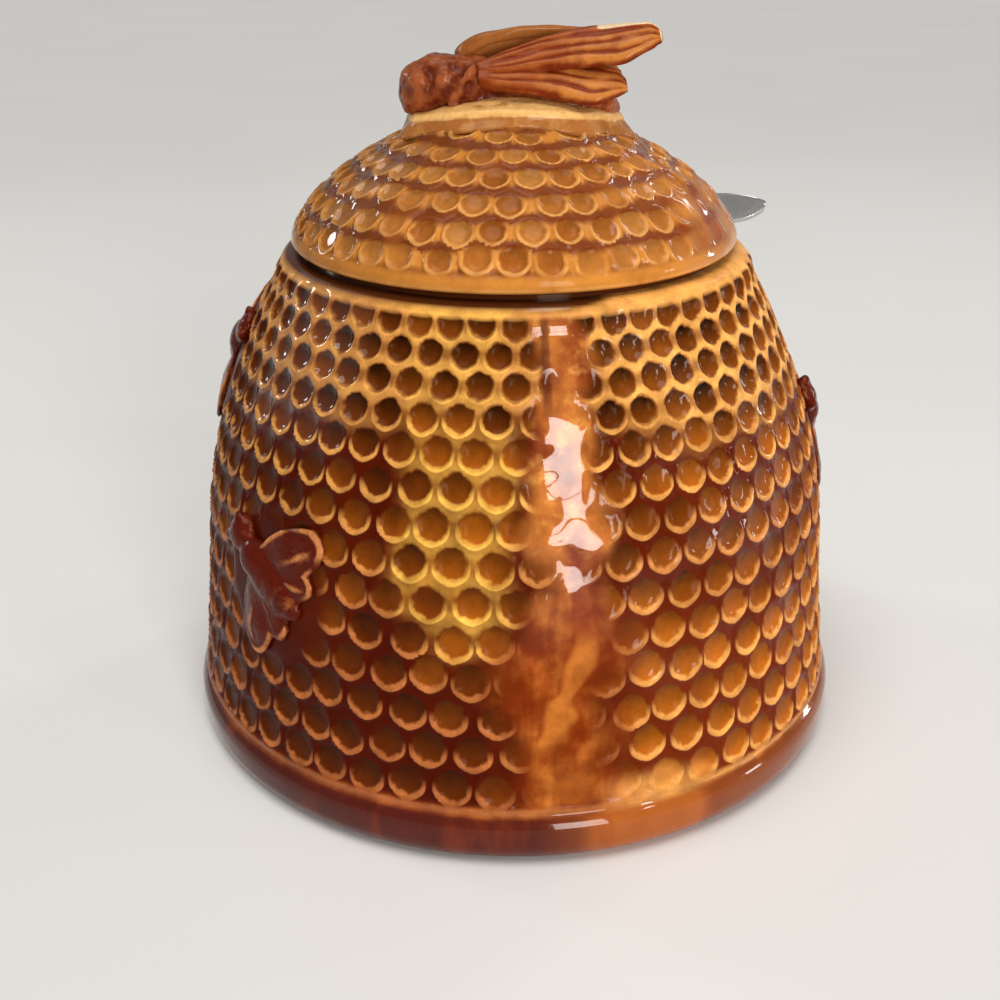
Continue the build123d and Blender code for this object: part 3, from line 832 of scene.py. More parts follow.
def pot_comb(pot, outside):
    """Staggered rows of cells from the rim, where a last row is half hidden, down to the foot's band."""
    radius, height = np.array(outside).T
    path = path_of(radius, height)
    draw = np.random.default_rng(5)
    rows = pot_rows(pot)
    top, width = rows[0]
    rows = [(top + 4.1 * MM, width)] + rows
    cells = []
    for row, (level, width) in enumerate(rows):
        along = np.interp(level, path[1], path[2])
        here = np.interp(along, path[2], radius)
        for index in range(pot.cells):
            slip = draw.normal(0, 0.02, 2) * (1 + 1.4 * ease(60 * MM, 30 * MM, level))
            turn = 2 * pi * (index + (row - 1) % 2 / 2 + slip[0]) / pot.cells + pot.comb_turn
            middle = np.array([[here * sin(turn), -here * cos(turn), level]])
            ring = pot_fields(middle)[3][0]
            cells.append((turn, along + slip[1] * width, width, ring, draw.random()))
    return Comb(path, cells)


def pot_masks(points, seam, shown):
    """Parts of the pot's outside where the glaze changes, by name, each from 0 to 1, with painted shade on
    the left and under the lid.
    """
    side, height = side_and_height(points)
    line = ease(1.5, 0.4, np.abs(side - 6.3)) * span(height, 71, 76, 86, 87)
    # The painted shadow under the lid starts higher on the right, where the rim is lit.
    lit_rim = 1.1 * span(side, 12, 30, 110, 150)
    ledge = span(height, 8.4, 9.4, 9.8, 10.6)
    rim_band = ease(86.2, 86.9, height)
    ragged = height + 2 * lumps(points, 6 * MM, 18)
    caramel = span(side, 12, 17, 28, 36) * ease(15.5, 11.5, ragged)
    golden = span(side, 9, 16, 27, 34)
    return {
        "line": line * 0.75 * shown,
        # Painted shadow on the rim just under the lid.
        "gap": ease(87.1, 87.6, height - lit_rim),
        "drip": drip_at(points),
        # Painted shade over the left of the pot, fading out towards the top.
        "shade": span(side, -160, -120, -50, -18) * ease(75, 55, height),
        "upper": 0.8 * ease(40, 62, height),
        "shine": np.maximum(shine_at(points), seam * ease(32, 50, height)),
        "band": np.maximum(0.8 * np.maximum(ledge, rim_band), 0.6 * caramel) * shown,
        "foot": ease(8.9, 8.3, height) * shown,
        "foot_warm": np.clip(golden + 0.45 * span(side, 2, 14, 100, 170), 0, 1),
    }


def make_pot(pot, tints):
    """The pot, with its comb pressed into the outside where the glaze has not filled it."""
    outside, inside = pot_profile(pot)
    around, few = pot.cells * 12, pot.cells * 2
    under = [(0, pot.recess), (pot.ring_inside - pot.recess, pot.recess), (pot.ring_inside, 0)]
    counts = [1, few, few] + [around] * len(outside) + [few] * len(inside) + [1]
    points, faces = turned(under + outside + inside + [(0, pot.floor_height)], counts)
    piece = new_piece("pot_glazed", points, faces, "pot", "pot_glaze", "pot_body")
    mesh = piece.data
    first = 1 + 2 * few
    order = np.arange(len(points))
    shown = (order >= first) & (order < first + around * len(outside))
    seam, warm, gold, ring = pot_fields(points)
    height = points[:, 2] / MM
    combed = span(height, 9.6, 11.2, 86.4, 87.6) * shown
    weak = ease(0.2, 0.45, lumps(points, 9 * MM, 7)) * ease(74, 60, height)
    melt = np.maximum(np.maximum(seam, near_bees(points)), 0.25 * weak)
    melt = np.maximum(melt, 1 - combed)
    comb = pot_comb(pot, outside)
    relief = comb.height(points, comb.nearest(points))
    flat = 0.8 + 0.25 * lumps(points, 5 * MM, 3)
    depth = (1 - (relief * (1 - melt) + flat * melt)) * combed * pot.relief
    depth += ease(-0.5, 0.5, lumps(points, 20 * MM, 4)) * pot.uneven * combed
    move(mesh, points - normals_of(mesh) * depth[:, None])
    comb.mark_faces(mesh, points)
    store(mesh, melt=melt, seam=np.maximum(seam, 1 - combed), warm=warm, gold=gold, ring=ring)
    store(mesh, bare=order < first, **pot_masks(points, seam, shown))
    mesh.materials.append(pot_glaze(tints))


class HONEYPOT_OT_pot(bpy.types.Operator):
    """Make the pot, with comb cells over its wall"""

    bl_idname = "honeypot.pot"
    bl_label = "Pot"

    def execute(self, context):
        make_pot(context.scene.honey_pot, context.scene.honey_glaze)
        return {"FINISHED"}


# ---- Lid ----
def dome_points(radius, height, base, count):
    """A superellipse dome from its edge up to its top."""
    power = 2 / DOME_POWER
    turns = np.linspace(0, pi / 2, count)
    return [(radius * max(cos(t), 0) ** power, base + height * sin(t) ** power) for t in turns]


def even_points(points, count):
    """The same curve with its points evenly spaced."""
    radius, height, length = path_of(*np.array(points).T)
    spots = np.linspace(0, length[-1], count)
    return list(zip(np.interp(spots, length, radius), np.interp(spots, length, height)))


def lid_profile(lid, pot):
    """Outside of the lid from its lip to its top, its hollow down again, and the flange and seat under it."""
    lip = RIM + lid.lip_gap
    dome_base = lip + lid.lip_round
    outside = arc((LID_RADIUS - lid.lip_round, dome_base), lid.lip_round, -90, 0, 5)
    outside += even_points(dome_points(LID_RADIUS, LID_TOP - dome_base, dome_base, 400), 104)[1:]
    hollow = LID_RADIUS - lid.wall - lid.lip_round
    inside = dome_points(hollow, LID_TOP - lid.wall - lip, lip, 14)[::-1]
    flange = pot.mouth_radius - lid.flange_gap
    throat = flange - lid.flange_wall
    seat = pot.mouth_radius + lid.seat_width
    bevel = lid.flange_edge
    under = [
        (throat, lip),
        (throat, FLANGE_BOTTOM + bevel),
        (throat + bevel, FLANGE_BOTTOM),
        (flange - bevel, FLANGE_BOTTOM),
        (flange, FLANGE_BOTTOM + bevel),
        (flange, RIM),
        (seat, RIM),
        (seat, lip),
    ]
    return outside, inside, under


def cut(piece, cutter):
    """Take a cutter's shape out of a piece, and delete the cutter."""
    modifier = piece.modifiers.new("cut", "BOOLEAN")
    modifier.object = cutter
    modifier.operation = "DIFFERENCE"
    modifier.solver = "EXACT"
    apply_modifiers(piece)
    bpy.data.objects.remove(cutter)


def apply_modifiers(piece):
    """Turn the piece's modifiers into its mesh."""
    graph = bpy.context.evaluated_depsgraph_get()
    made = bpy.data.meshes.new_from_object(piece.evaluated_get(graph))
    piece.modifiers.clear()
    old = piece.data
    piece.data = made
    bpy.data.meshes.remove(old)


def notch_cutter(lid, azimuth):
    """A long block with rounded upper corners, laid outwards over the rim."""
    half = lid.notch_width / 2
    top = RIM + lid.notch_top
    bottom = FLANGE_BOTTOM - 6 * MM
    corner = lid.notch_corner
    outline = [(-half, bottom), (half, bottom)]
    outline += arc((half - corner, top - corner), corner, 0, 90, 7)
    outline += arc((corner - half, top - corner), corner, 90, 180, 7)
    count = len(outline)
    turn = Matrix.Rotation(azimuth, 3, "Z")
    reach = (0.0, LID_RADIUS * 1.5)
    vertices = [turn @ Vector((out, across, up)) for out in reach for across, up in outline]
    faces = [list(range(count))[::-1], list(range(count, 2 * count))]
    faces += [[i, (i + 1) % count, count + (i + 1) % count, count + i] for i in range(count)]
    mesh = bpy.data.meshes.new("cutter")
    mesh.from_pydata(vertices, [], faces)
    return link("cutter", mesh)


def lid_comb(lid, outside):
    radius, height = np.array(outside).T
    path = path_of(radius, height)
    draw = np.random.default_rng(11)
    cells = []
    base = RIM + lid.lip_gap + lid.lip_round
    for row, (share, count) in enumerate(LID_ROWS):
        along = np.interp(base + (LID_TOP - base) * share, height, path[2])
        here = np.interp(along, path[2], radius)
        pitch = min(2 * pi * here / count, lid.scallop)
        for index in range(count):
            slip = draw.normal(0, 0.06, 2)
            turn = 2 * pi * (index + 0.5 * (row % 2) + slip[0]) / count
            width = pitch * (1 + draw.normal(0, 0.05))
            cells.append((turn, along + slip[1] * pitch, width, LID_RING, draw.random()))
    return Comb(path, cells)


def lid_solid(outside, inside, under):
    """Vertices and faces of the lid, whose last ring closes onto its first."""
    around, few = 720, 120
    tops = [(0, outside[-1][1]), (0, inside[0][1])]
    counts = [around] * (len(outside) - 1) + [1, 1] + [few] * (len(inside) - 1 + len(under))
    vertices, faces = turned(outside[:-1] + tops + inside[1:] + under, counts)
    last = len(vertices) - few
    for step in range(few):
        faces.append(ring_part(last, few, few, step) + ring_part(0, around, few, step)[::-1])
    return vertices, [face for face in faces if len(set(face)) > 2]


def lid_masks(points, on_dome, lip):
    """Parts of the lid where the glaze changes, by name, with painted shade on its left and under its lip.
    The lip's height is in millimetres.
    """
    side, height = side_and_height(points)
    sides = span(side, 18, 34, 80, 110) + span(side, -120, -90, -52, -38)
    return {
        "warm": np.clip(0.3 + 0.6 * lumps(points, 16 * MM, 12), 0, 1),
        "ring": np.full(len(points), LID_RING),
        "band": ease(92.8, 91.2, height) * on_dome,
        # Painted shadow on the lid's underside, at and under its lip.
        "gap": ease(0.45, 0.15, height - lip),
        "edge_line": span(height - lip, 0.3, 0.5, 0.7, 1.1),
        # Painted shade over the lid's left side.
        "shade": span(side, -150, -120, -60, -18),
        "shine": ease(-0.2, 0.25, lumps(points, 9 * MM, 13)) * sides * on_dome,
    }


def make_lid(lid, pot, tints):
    """The lid, with its scallops pressed into the dome and the notch cut out."""
    outside, inside, under = lid_profile(lid, pot)
    piece = new_piece("lid_glazed", *lid_solid(outside, inside, under), "lid", "lid_glaze", "lid_shell")
    azimuth = atan2(ROCK["pos_m"][1], ROCK["pos_m"][0])
    cut(piece, notch_cutter(lid, azimuth))
    mesh = piece.data
    points = points_of(mesh)
    turn, radius = polar(points)
    side, height = side_and_height(points)
    on_dome = np.abs(radius - np.interp(points[:, 2], *np.array(outside)[:, ::-1].T)) < 0.03 * MM
    on_dome &= points[:, 2] > outside[0][1] + 0.1 * MM
    combed = ease(91.0, 92.6, height) * on_dome
    from_notch = np.abs(wrapped(turn - azimuth - pi / 2)) * radius
    beside = ease(10 * MM, 6.5 * MM, from_notch) * ease(100, 97, height)
    melt = 0.75 * span(side, 42, 56, 84, 100) * ease(104, 99, height)
    melt = np.maximum(melt, 0.35 * ease(0.2, 0.45, lumps(points, 8 * MM, 9)))
    melt = np.clip(np.maximum(np.maximum(melt, beside), 1 - combed), 0, 1)
    comb = lid_comb(lid, outside)
    relief = comb.height(points, comb.nearest(points))
    depth = (1 - (relief * (1 - melt) + 0.8 * melt)) * combed
    move(mesh, points - normals_of(mesh) * (depth * lid.relief)[:, None])
    comb.mark_faces(mesh, points)
    store(mesh, melt=melt, **lid_masks(points, on_dome, (RIM + lid.lip_gap) / MM))
    mesh.polygons.foreach_set("use_smooth", np.ones(len(mesh.polygons), bool))
    mesh.set_sharp_from_angle(angle=radians(52))
    mesh.materials.append(lid_glaze(tints))


class HONEYPOT_OT_lid(bpy.types.Operator):
    """Make the lid, with scallops over its dome and a notch for the spoon"""

    bl_idname = "honeypot.lid"
    bl_label = "Lid"

    def execute(self, context):
        scene = context.scene
        make_lid(scene.honey_lid, scene.honey_pot, scene.honey_glaze)
        return {"FINISHED"}


# ---- Modelled clay ----
def convexity(mesh, passes=2):
    """How much each vertex sticks out from its neighbours: 0 in a hollow, 1 on an edge."""
    points, normals = points_of(mesh), normals_of(mesh)
    edges = np.empty(len(mesh.edges) * 2, np.int32)
    mesh.edges.foreach_get("vertices", edges)
    first, second = edges.reshape(-1, 2).T
    count = np.bincount(np.concatenate([first, second]), minlength=len(points)).clip(1)[:, None]

    def averaged(values):
        total = np.zeros_like(values)
        np.add.at(total, first, values[second])
        np.add.at(total, second, values[first])
        return total / count

    level = points
    for _ in range(6 * passes):
        level = averaged(level)
    out = ((points - level) * normals).sum(1)[:, None]
    for _ in range(passes):
        out = averaged(out)
    spread = np.percentile(np.abs(out), 90)
    return np.clip(0.5 + out[:, 0] / (2 * spread), 0, 1)


def ellipsoid(form, place, sizes):
    """Add an ellipsoid to a form, with its whole sizes along its own axes in millimetres."""
    scale = Matrix.Diagonal((*[size * MM / 2 for size in sizes], 1))
    bmesh.ops.create_icosphere(form, subdivisions=4, radius=1, matrix=place @ scale)


def skinned(name, form, voxel, body, slot, node, smoothing=4):
    """One smooth skin over everything in a form."""
    mesh = bpy.data.meshes.new(name)
    form.to_mesh(mesh)
    form.free()
    piece = link(name, mesh)
    remesh = piece.modifiers.new("skin", "REMESH")
    remesh.mode = "VOXEL"
    remesh.voxel_size = voxel
    soft = piece.modifiers.new("soft", "SMOOTH")
    soft.iterations = smoothing
    apply_modifiers(piece)
    finish_piece(piece, body, slot, node)
    return piece


def clay_glaze(name, dark, light, low, high):
    """Mottled glaze that turns from dark in the hollows to light over the edges between low and high."""
    recipe = Recipe(name)
    edge = recipe.stored("edge")
    mottle = recipe.cloud(3.2 * MM, 5.0)
    fine = recipe.cloud(0.9 * MM, 3.0)
    part = (edge * 0.75 + mottle * 0.7 + fine * 0.4 - 0.3).ease(low, high)
    base = recipe.dim(recipe.blend(part, dark, light), 0.65 + fine * 0.7)
    recipe.bump(fine * 0.8 + mottle, 0.4 * MM, 0.7)
    return glossy(recipe, base, 0.1 + mottle * 0.08)


def dome_height_at(lid, radius, spread=0.0, rise=0.0):
    """Height of the lid's dome, or of a wider and higher one, at a radius."""
    base = RIM + lid.lip_gap + (0 if rise else lid.lip_round)
    part = np.clip(radius / (LID_RADIUS + spread), 0, 1)
    return base + (LID_TOP + rise - base) * (1 - part**DOME_POWER) ** (1 / DOME_POWER)


def pad_rows():
    """Rows round the pad from its middle out: share of its size, and drop, over 1 down its side."""
    rows = [(part, 0.0) for part in np.linspace(0.06, 0.93, 22)]
    rows += [(0.93 + 0.07 * sin(turn), 1 - cos(turn)) for turn in np.linspace(0.2, pi / 2, 6)]
    rows += [(1.0, 1 + part * PAD_SIDE) for part in (1 / 3, 2 / 3, 1)]
    return rows


def pad_point(bee, lid, part, drop, turn):
    """A point of the pad, whose outline waves and whose top follows a wider dome than the lid's."""
    wave = 1 + 0.02 * sin(5 * turn + 1) + 0.012 * sin(11 * turn)
    wave += 0.09 * max(drop - 1, 0) * (1 + 0.5 * sin(7 * turn + 2))
    x = bee.pad_length / 2 * cos(turn) * part * wave
    y = bee.pad_width / 2 * sin(turn) * part * wave
    radius = np.hypot(x, y)
    top = dome_height_at(lid, radius, bee.pad_spread, bee.pad_rise)
    low = dome_height_at(lid, radius) - bee.pad_sink
    if drop <= 1:
        return x, y, top - min(drop * bee.pad_edge, top - low)
    edge = top - bee.pad_edge
    return x, y, edge - (edge - low) * (drop - 1) / PAD_SIDE


def make_pad(bee, lid, tints):
    """The oval pad on the dome, with a golden top and a brown side."""
    around = 160
    rows = pad_rows()
    turns = np.linspace(0, 2 * pi, around, endpoint=False)
    points = [(0, 0, LID_TOP + bee.pad_rise)]
    points += [pad_point(bee, lid, part, drop, turn) for part, drop in rows for turn in turns]
    faces = [(0, 1 + k, 1 + (k + 1) % around) for k in range(around)]
    faces += tube_faces(1, len(rows), around, open_start=True)
    piece = new_piece("bee_pad", points, faces, "lid", "lid_glaze", "finial_pad")
    mesh = piece.data
    points = points_of(mesh)
    points[:, 2] += np.minimum(lumps(points, 4 * MM, 21) * 0.35 * MM, 0)
    move(mesh, points)
    drops = [0.0] + [drop for _, drop in rows for _ in turns]
    store(mesh, top=ease(1.15, 0.5, np.array(drops)))
    mesh.materials.append(pad_glaze(tints))


def pad_glaze(tints):
    """Golden glaze on the pad's top that turns brown down its side."""
    recipe = Recipe("pad_glaze")
    mottle = recipe.cloud(3.2 * MM, 5.0)
    fine = recipe.cloud(0.9 * MM, 3.0)
    top = (recipe.stored("top") * 0.7 + mottle * 1.2 - 0.4).ease(0.1, 0.8)
    spotted = mottle.ease(0.55, 0.75) * 0.7
    base = recipe.over(tints.pad_side, (top, tints.pad_gold), (spotted, tints.lid_floor))
    base = recipe.dim(base, 0.72 + fine * 0.5)
    recipe.bump(fine * 0.6 + mottle, 0.4 * MM, 0.6)
    return glossy(recipe, base, 0.1 + mottle * 0.08)


def spot(x, y, lift):
    """A place over the middle of the dome's top, in millimetres."""
    return Matrix.Translation((x * MM, y * MM, LID_TOP + lift * MM))


def make_bee(bee, tints):
    """Head, thorax and drooping abdomen of the bee on the lid."""
    form = bmesh.new()
    for middle, sizes, tilt in BEE_LUMPS:
        ellipsoid(form, spot(*middle) @ rotated(tilt, "Y"), sizes)
    for step in range(5):
        band = spot(*ABDOMEN) @ rotated(DROOP, "Y") @ shifted(step * 4.2 - 6.5)
        wide = cos(radians(step * 16 - 24))
        ellipsoid(form, band, (3.2, 9.8 * wide, 8.6 * wide))
    for side in (-1, 1):
        for (x, y, lift), sizes, tilt in SIDE_LUMPS:
            ellipsoid(form, spot(x, y * side, lift) @ rotated(tilt, "Y"), sizes)
        for step in range(3):
            leg = rotated(-24 + 24 * step, "Z") @ rotated(-38 * side, "X")
            ellipsoid(form, spot(-9.5 + 4.2 * step, 5.2 * side, -0.8) @ leg, (1.9, 8.0, 1.9))
    piece = skinned("bee_on_lid", form, bee.skin, "lid", "bee_glaze", "finial_bee_body")
    mesh = piece.data
    points = points_of(mesh)
    shove = lumps(points, 2.8 * MM, 31) * 0.7 * MM + lumps(points, 1.3 * MM, 32) * 0.25 * MM
    move(mesh, points + normals_of(mesh) * np.minimum(shove, 0.1 * MM)[:, None])
    store(mesh, edge=convexity(mesh))
    mesh.materials.append(clay_glaze("bee_glaze", tints.bee_dark, tints.bee_light, 0.4, 1.0))


def wing_place(root, slope, rise):
    """Frame of a near wing: its length along X, its width towards -Y and its outer face towards +Z."""
    back, up = (radians(angle) for angle in root)
    along, aside, upward = WING_REACH
    place = spot(
        THORAX[0] + along * sin(back),
        -aside * cos(back) * cos(up),
        THORAX[2] + upward * cos(back) * sin(up),
    )
    return place @ rotated(-rise, "Y") @ rotated(slope, "X")


class Wing(NamedTuple):
    """A wing's node, sizes and frame, its ridges, its leading edge's swelling, and how worn its tip is."""

    node: str
    far: bool
    length: float
    width: float
    place: Matrix
    ridges: float
    swell: float
    early: float
    pale: float


def wing_edges(wing, part):
    """Leading and trailing edge of a wing at a part of its length."""
    opened = sin(min(part * 1.25, 1) * pi / 2) ** 0.8
    back = -1.0 * MM * part**2
    lead = wing.swell * sin(part**wing.early * pi) + back
    trail = 2.1 * MM * sin(part * pi) + back
    trail -= wing.width * (0.24 + 0.76 * opened) * (1 - 0.42 * ease(0.72, 1.0, part))
    return lead, trail


def wing_section(wing, thickness, part, across):
    """Points round a wing at a part of its length, each with its ridge, gold, worn and dark parts. The dark
    part is painted shadow along the leading edge of the near wings.
    """
    lead, trail = wing_edges(wing, part)
    middle = (lead + trail) / 2
    closing = 0.12 + 0.88 * np.sqrt(ease(1.0, 0.93, part))
    strength = ease(0.0, 0.2, part) * (1 - 0.35 * ease(0.9, 1.0, part))
    section = []
    for ring in range(2 * across):
        outer = ring < across
        share = (ring if outer else 2 * across - 1 - ring) / (across - 1)
        y = middle + (lead - middle) * (1 - 2 * share) * (0.35 + 0.65 * closing)
        edge = np.sqrt(max(1 - (2 * share - 1) ** 6, 0))
        uneven = noise.noise(Vector((part * 2.4, share * 3.0, wing.ridges)))
        fading = 1 - 0.55 * ease(0.0, 0.4, noise.noise(Vector((part * 5, share * 7, 3.0))))
        bend = wing.ridges * (share + 0.12 * uneven) + 0.15 * sin(part * 4)
        crest = 1 - (0.5 + 0.5 * cos(2 * pi * bend)) ** 1.9 * fading
        thick = thickness * (0.35 + 0.65 * edge) * (0.35 + 0.65 * closing)
        if outer:
            z = thick - (1 - crest) * 0.3 * MM * strength * edge
        else:
            z = (1 - edge) * 0.5 * MM - 1.6 * MM * ease(0.5, 0.0, part) * edge
            z += (1 - crest) * 0.3 * MM * strength * edge
        gold = share * ease(0.25, 0.7, part)
        rim = max(ease(0.24, 0.12, share) * ease(0.62, 0.72, part), 0.8 * ease(0.97, 1.0, part))
        # Painted shadow: a dark band along the near wings' leading edge over most of their length.
        dark = ease(0.16, 0.05, share) * ease(0.72, 0.6, part) * (not wing.far)
        place = (wing.length * part, y, z)
        section.append((place, crest * strength + (1 - strength) * 0.4, gold, rim * wing.pale, dark))
    return section


def make_wing(wing, bee, material):
    """A wing with ridges that fan out from its root, thick at the root and thin at the tip."""
    across, along = 64, 120
    section = []
    for step in range(along + 1):
        section += wing_section(wing, bee.wing_thickness, step / along, across)
    places, crests, golds, worn, dark = zip(*section)
    faces = tube_faces(0, along + 1, 2 * across)
    points = [wing.place @ Vector(place) for place in places]
    if wing.far:
        points = [(point[0], -point[1], point[2]) for point in points]
        faces = [face[::-1] for face in faces]
    piece = new_piece(wing.node.removeprefix("finial_"), points, faces, "lid", "wing_glaze", wing.node)
    mesh = piece.data
    points = points_of(mesh)
    shove = lumps(points, 3.5 * MM, 41) * 0.25 * MM
    move(mesh, points + normals_of(mesh) * shove[:, None])
    far = np.full(len(points), 1.0 * wing.far)
    store(mesh, crest=crests, gold=golds, worn=worn, dark=dark, far=far)
    mesh.materials.append(material)


def wing_glaze(tints):
    """Glaze that breaks over the wings' ridges and is worn pale at their tips."""
    recipe = Recipe("wing_glaze")
    crest = recipe.stored("crest")
    mottle = recipe.cloud(2.6 * MM, 4.0)
    fine = recipe.cloud(0.8 * MM, 3.0)
    gold = (recipe.stored("gold") * 1.3 + mottle - 0.6).ease(0.0, 0.9)
    ridge = recipe.blend(gold, tints.wing_ridge, tints.wing_gold)
    worn = (recipe.stored("worn") * 1.6 + mottle - 1.0).ease(0.2, 0.6)
    base = recipe.over(
        tints.wing_groove,
        ((crest * 0.8 + mottle * 1.2 - 0.5).ease(0.05, 1.0), ridge),
        # Painted shadow along the leading edge, in the groove colour.
        (recipe.stored("dark") * mottle.ease(0.2, 0.5) * 0.8, tints.wing_groove),
        (recipe.stored("far") * (0.4 + mottle * 0.7), tints.pad_side),
        (worn * 0.85, tints.wing_worn),
    )
    base = recipe.dim(base, 0.7 + fine * 0.5)
    recipe.bump(fine * 0.5 + crest, 0.3 * MM, 0.5)
    return glossy(recipe, base, 0.1 + mottle * 0.08)


def make_wings(bee, tints):
    """The four wings. The far ones are mirrored from near frames."""
    material = wing_glaze(tints)
    near = wing_place((20, 50), 48, 14)
    far = wing_place((-25, 64), 48, 11)
    hind = wing_place((20, 25), 45, 1.5)
    long, wide = bee.forewing_length, bee.forewing_width
    short, narrow = bee.hindwing_length, bee.hindwing_width
    swell = 2.1 * MM
    for wing in (
        Wing("finial_forewing_near", False, long, wide, near, 4, swell, 1, 1),
        Wing("finial_forewing_far", True, long - 2.5 * MM, wide, far, 4, 4.6 * MM, 0.55, 0),
        Wing("finial_hindwing_near", False, short, narrow, hind, 4, 3.4 * MM, 0.9, 0),
        Wing("finial_hindwing_far", True, short, narrow, hind, 4, swell, 1, 0),
    ):
        make_wing(wing, bee, material)


class HONEYPOT_OT_lid_bee(bpy.types.Operator):
    """Make the bee on the lid, its pad and its four wings"""

    bl_idname = "honeypot.lid_bee"
    bl_label = "Bee on the lid"

    def execute(self, context):
        scene = context.scene
        make_pad(scene.honey_bee, scene.honey_lid, scene.honey_glaze)
        make_bee(scene.honey_bee, scene.honey_glaze)
        make_wings(scene.honey_bee, scene.honey_glaze)
        return {"FINISHED"}


# ---- Bees in relief ----
def wall_tilt(pot, height):
    """How far the wall leans in from upright at a height."""
    half = MM / 2
    return np.arctan2(wall_radius(pot, height - half) - wall_radius(pot, height + half), MM)


def on_wall(pot, azimuth, height, points):
    """Points laid on the wall: X is how far down from a height, Y along to the right and Z outwards."""
    level = height - points[:, 0] * cos(wall_tilt(pot, height))
    radius = wall_radius(pot, level)
    turn = azimuth + points[:, 1] / radius
    lean = wall_tilt(pot, level)
    out = radius + points[:, 2] * np.cos(lean)
    return np.stack([out * np.cos(turn), out * np.sin(turn), level + points[:, 2] * np.sin(lean)], 1)


def relief_form(heading):
    """A bee with open wings that lies flat, and the frame and sizes of each wing."""
    form = bmesh.new()
    for ahead, sizes in RELIEF_LUMPS:
        ellipsoid(form, heading @ shifted(ahead), sizes)
    wings = []
    for side in (-1, 1):
        ellipsoid(form, heading @ shifted(11.8, 2.3 * side, 0.9), (2.6, 2.4, 2.2))
        for sweep, sizes in RELIEF_WINGS:
            swept = heading @ shifted(3.4) @ rotated(side * sweep, "Z")
            wings.append((swept @ shifted(sizes[0] / 2), sizes))
            ellipsoid(form, *wings[-1])
    return form, wings


def within(place, points):
    """Points as a frame sees them, in millimetres."""
    inverse = place.inverted()
    return np.array([inverse @ Vector(point) for point in points]) / MM


def wing_lines(points, wings):
    """1 on the hem and the vein of the wing that each point belongs to, and 0 away from them."""
    nearest = np.full(len(points), np.inf)
    line = np.zeros(len(points))
    wander = 0.05 * lumps(points, 3 * MM, 53)
    for place, (long, wide, _) in wings:
        inside = within(place, points)
        out = np.hypot(inside[:, 0] / (long / 2), inside[:, 1] / (wide / 2)) + wander
        hem = span(out, 0.74, 0.83, 0.88, 0.97)
        vein = ease(0.08, 0.03, np.abs(inside[:, 1] / wide + 0.08 + wander)) * ease(0.72, 0.5, out)
        line = np.where(out < nearest, np.maximum(hem, 0.7 * vein), line)
        nearest = np.minimum(nearest, out)
    return line


def make_relief_bee(name, azimuth, height, turn, pot, skin, material):
    """A bee modelled flat, with ringed abdomen and lined wings, and then bent round the wall."""
    heading = rotated(90 + turn, "Z")
    form, wings = relief_form(heading)
    node = f"relief_bee_{name}"
    piece = skinned(f"{node}_glazed", form, skin, "pot", "relief_glaze", node, 3)
    mesh = piece.data
    points = points_of(mesh)
    ahead, aside, _ = within(heading, points).T
    rings = np.maximum(0, np.cos(ahead * 2 * pi / 3.1)) * ease(3.6, 2.6, np.abs(aside))
    rings *= ease(1.0, -1.0, ahead)
    worn = ease(3.0, 4.2, np.abs(aside)) * ease(-0.5, 0.3, lumps(points, 5 * MM, 52))
    line = wing_lines(points, wings) * worn
    shove = lumps(points, 4 * MM, 51) * 0.3 - 0.22 * rings - 0.3 + 0.3 * line
    store(mesh, edge=np.clip(0.3 * convexity(mesh) + line + 0.25 * rings, 0, 1))
    points = points + normals_of(mesh) * (np.minimum(shove, 0.05) * MM)[:, None]
    move(mesh, on_wall(pot, radians(azimuth), height * MM, points))
    mesh.materials.append(material)


class HONEYPOT_OT_relief_bees(bpy.types.Operator):
    """Make the three bees in relief on the pot's wall"""

    bl_idname = "honeypot.relief_bees"
    bl_label = "Bees in relief"

    def execute(self, context):
        scene = context.scene
        tints = scene.honey_glaze
        material = clay_glaze("relief_glaze", tints.relief_dark, tints.relief_edge, 0.45, 1.1)
        for name, where in RELIEF_BEES.items():
            make_relief_bee(name, *where, scene.honey_pot, scene.honey_bee.skin, material)
        return {"FINISHED"}


# ---- Spoon ----
def handle_height(spoon):
    """Height of the middle of the handle's lower face, where the leaning spoon's edge clears the rim."""
    return ROCK["pos_m"][2] + spoon.rest_gap + spoon.end_width / 2 * sin(spoon.roll)


def spoon_frame(spoon):
    """On the line that the spoon rocks on: X out along the handle, Z up out of its face."""
    x, y, _ = ROCK["pos_m"]
    out = Matrix.Rotation(atan2(y, x), 4, "Z") @ Matrix.Translation((np.hypot(x, y), 0, handle_height(spoon)))
    return out @ Matrix.Rotation(spoon.roll, 4, "X")


def stem_and_bowl(spoon):
    """Length of the stem and the bowl together, from the bend to the bowl's lowest end."""
    reach = (handle_height(spoon) - spoon.bowl_floor) / cos(spoon.roll)
    return (reach - spoon.bend_radius * (1 - cos(spoon.bend_angle))) / sin(spoon.bend_angle)


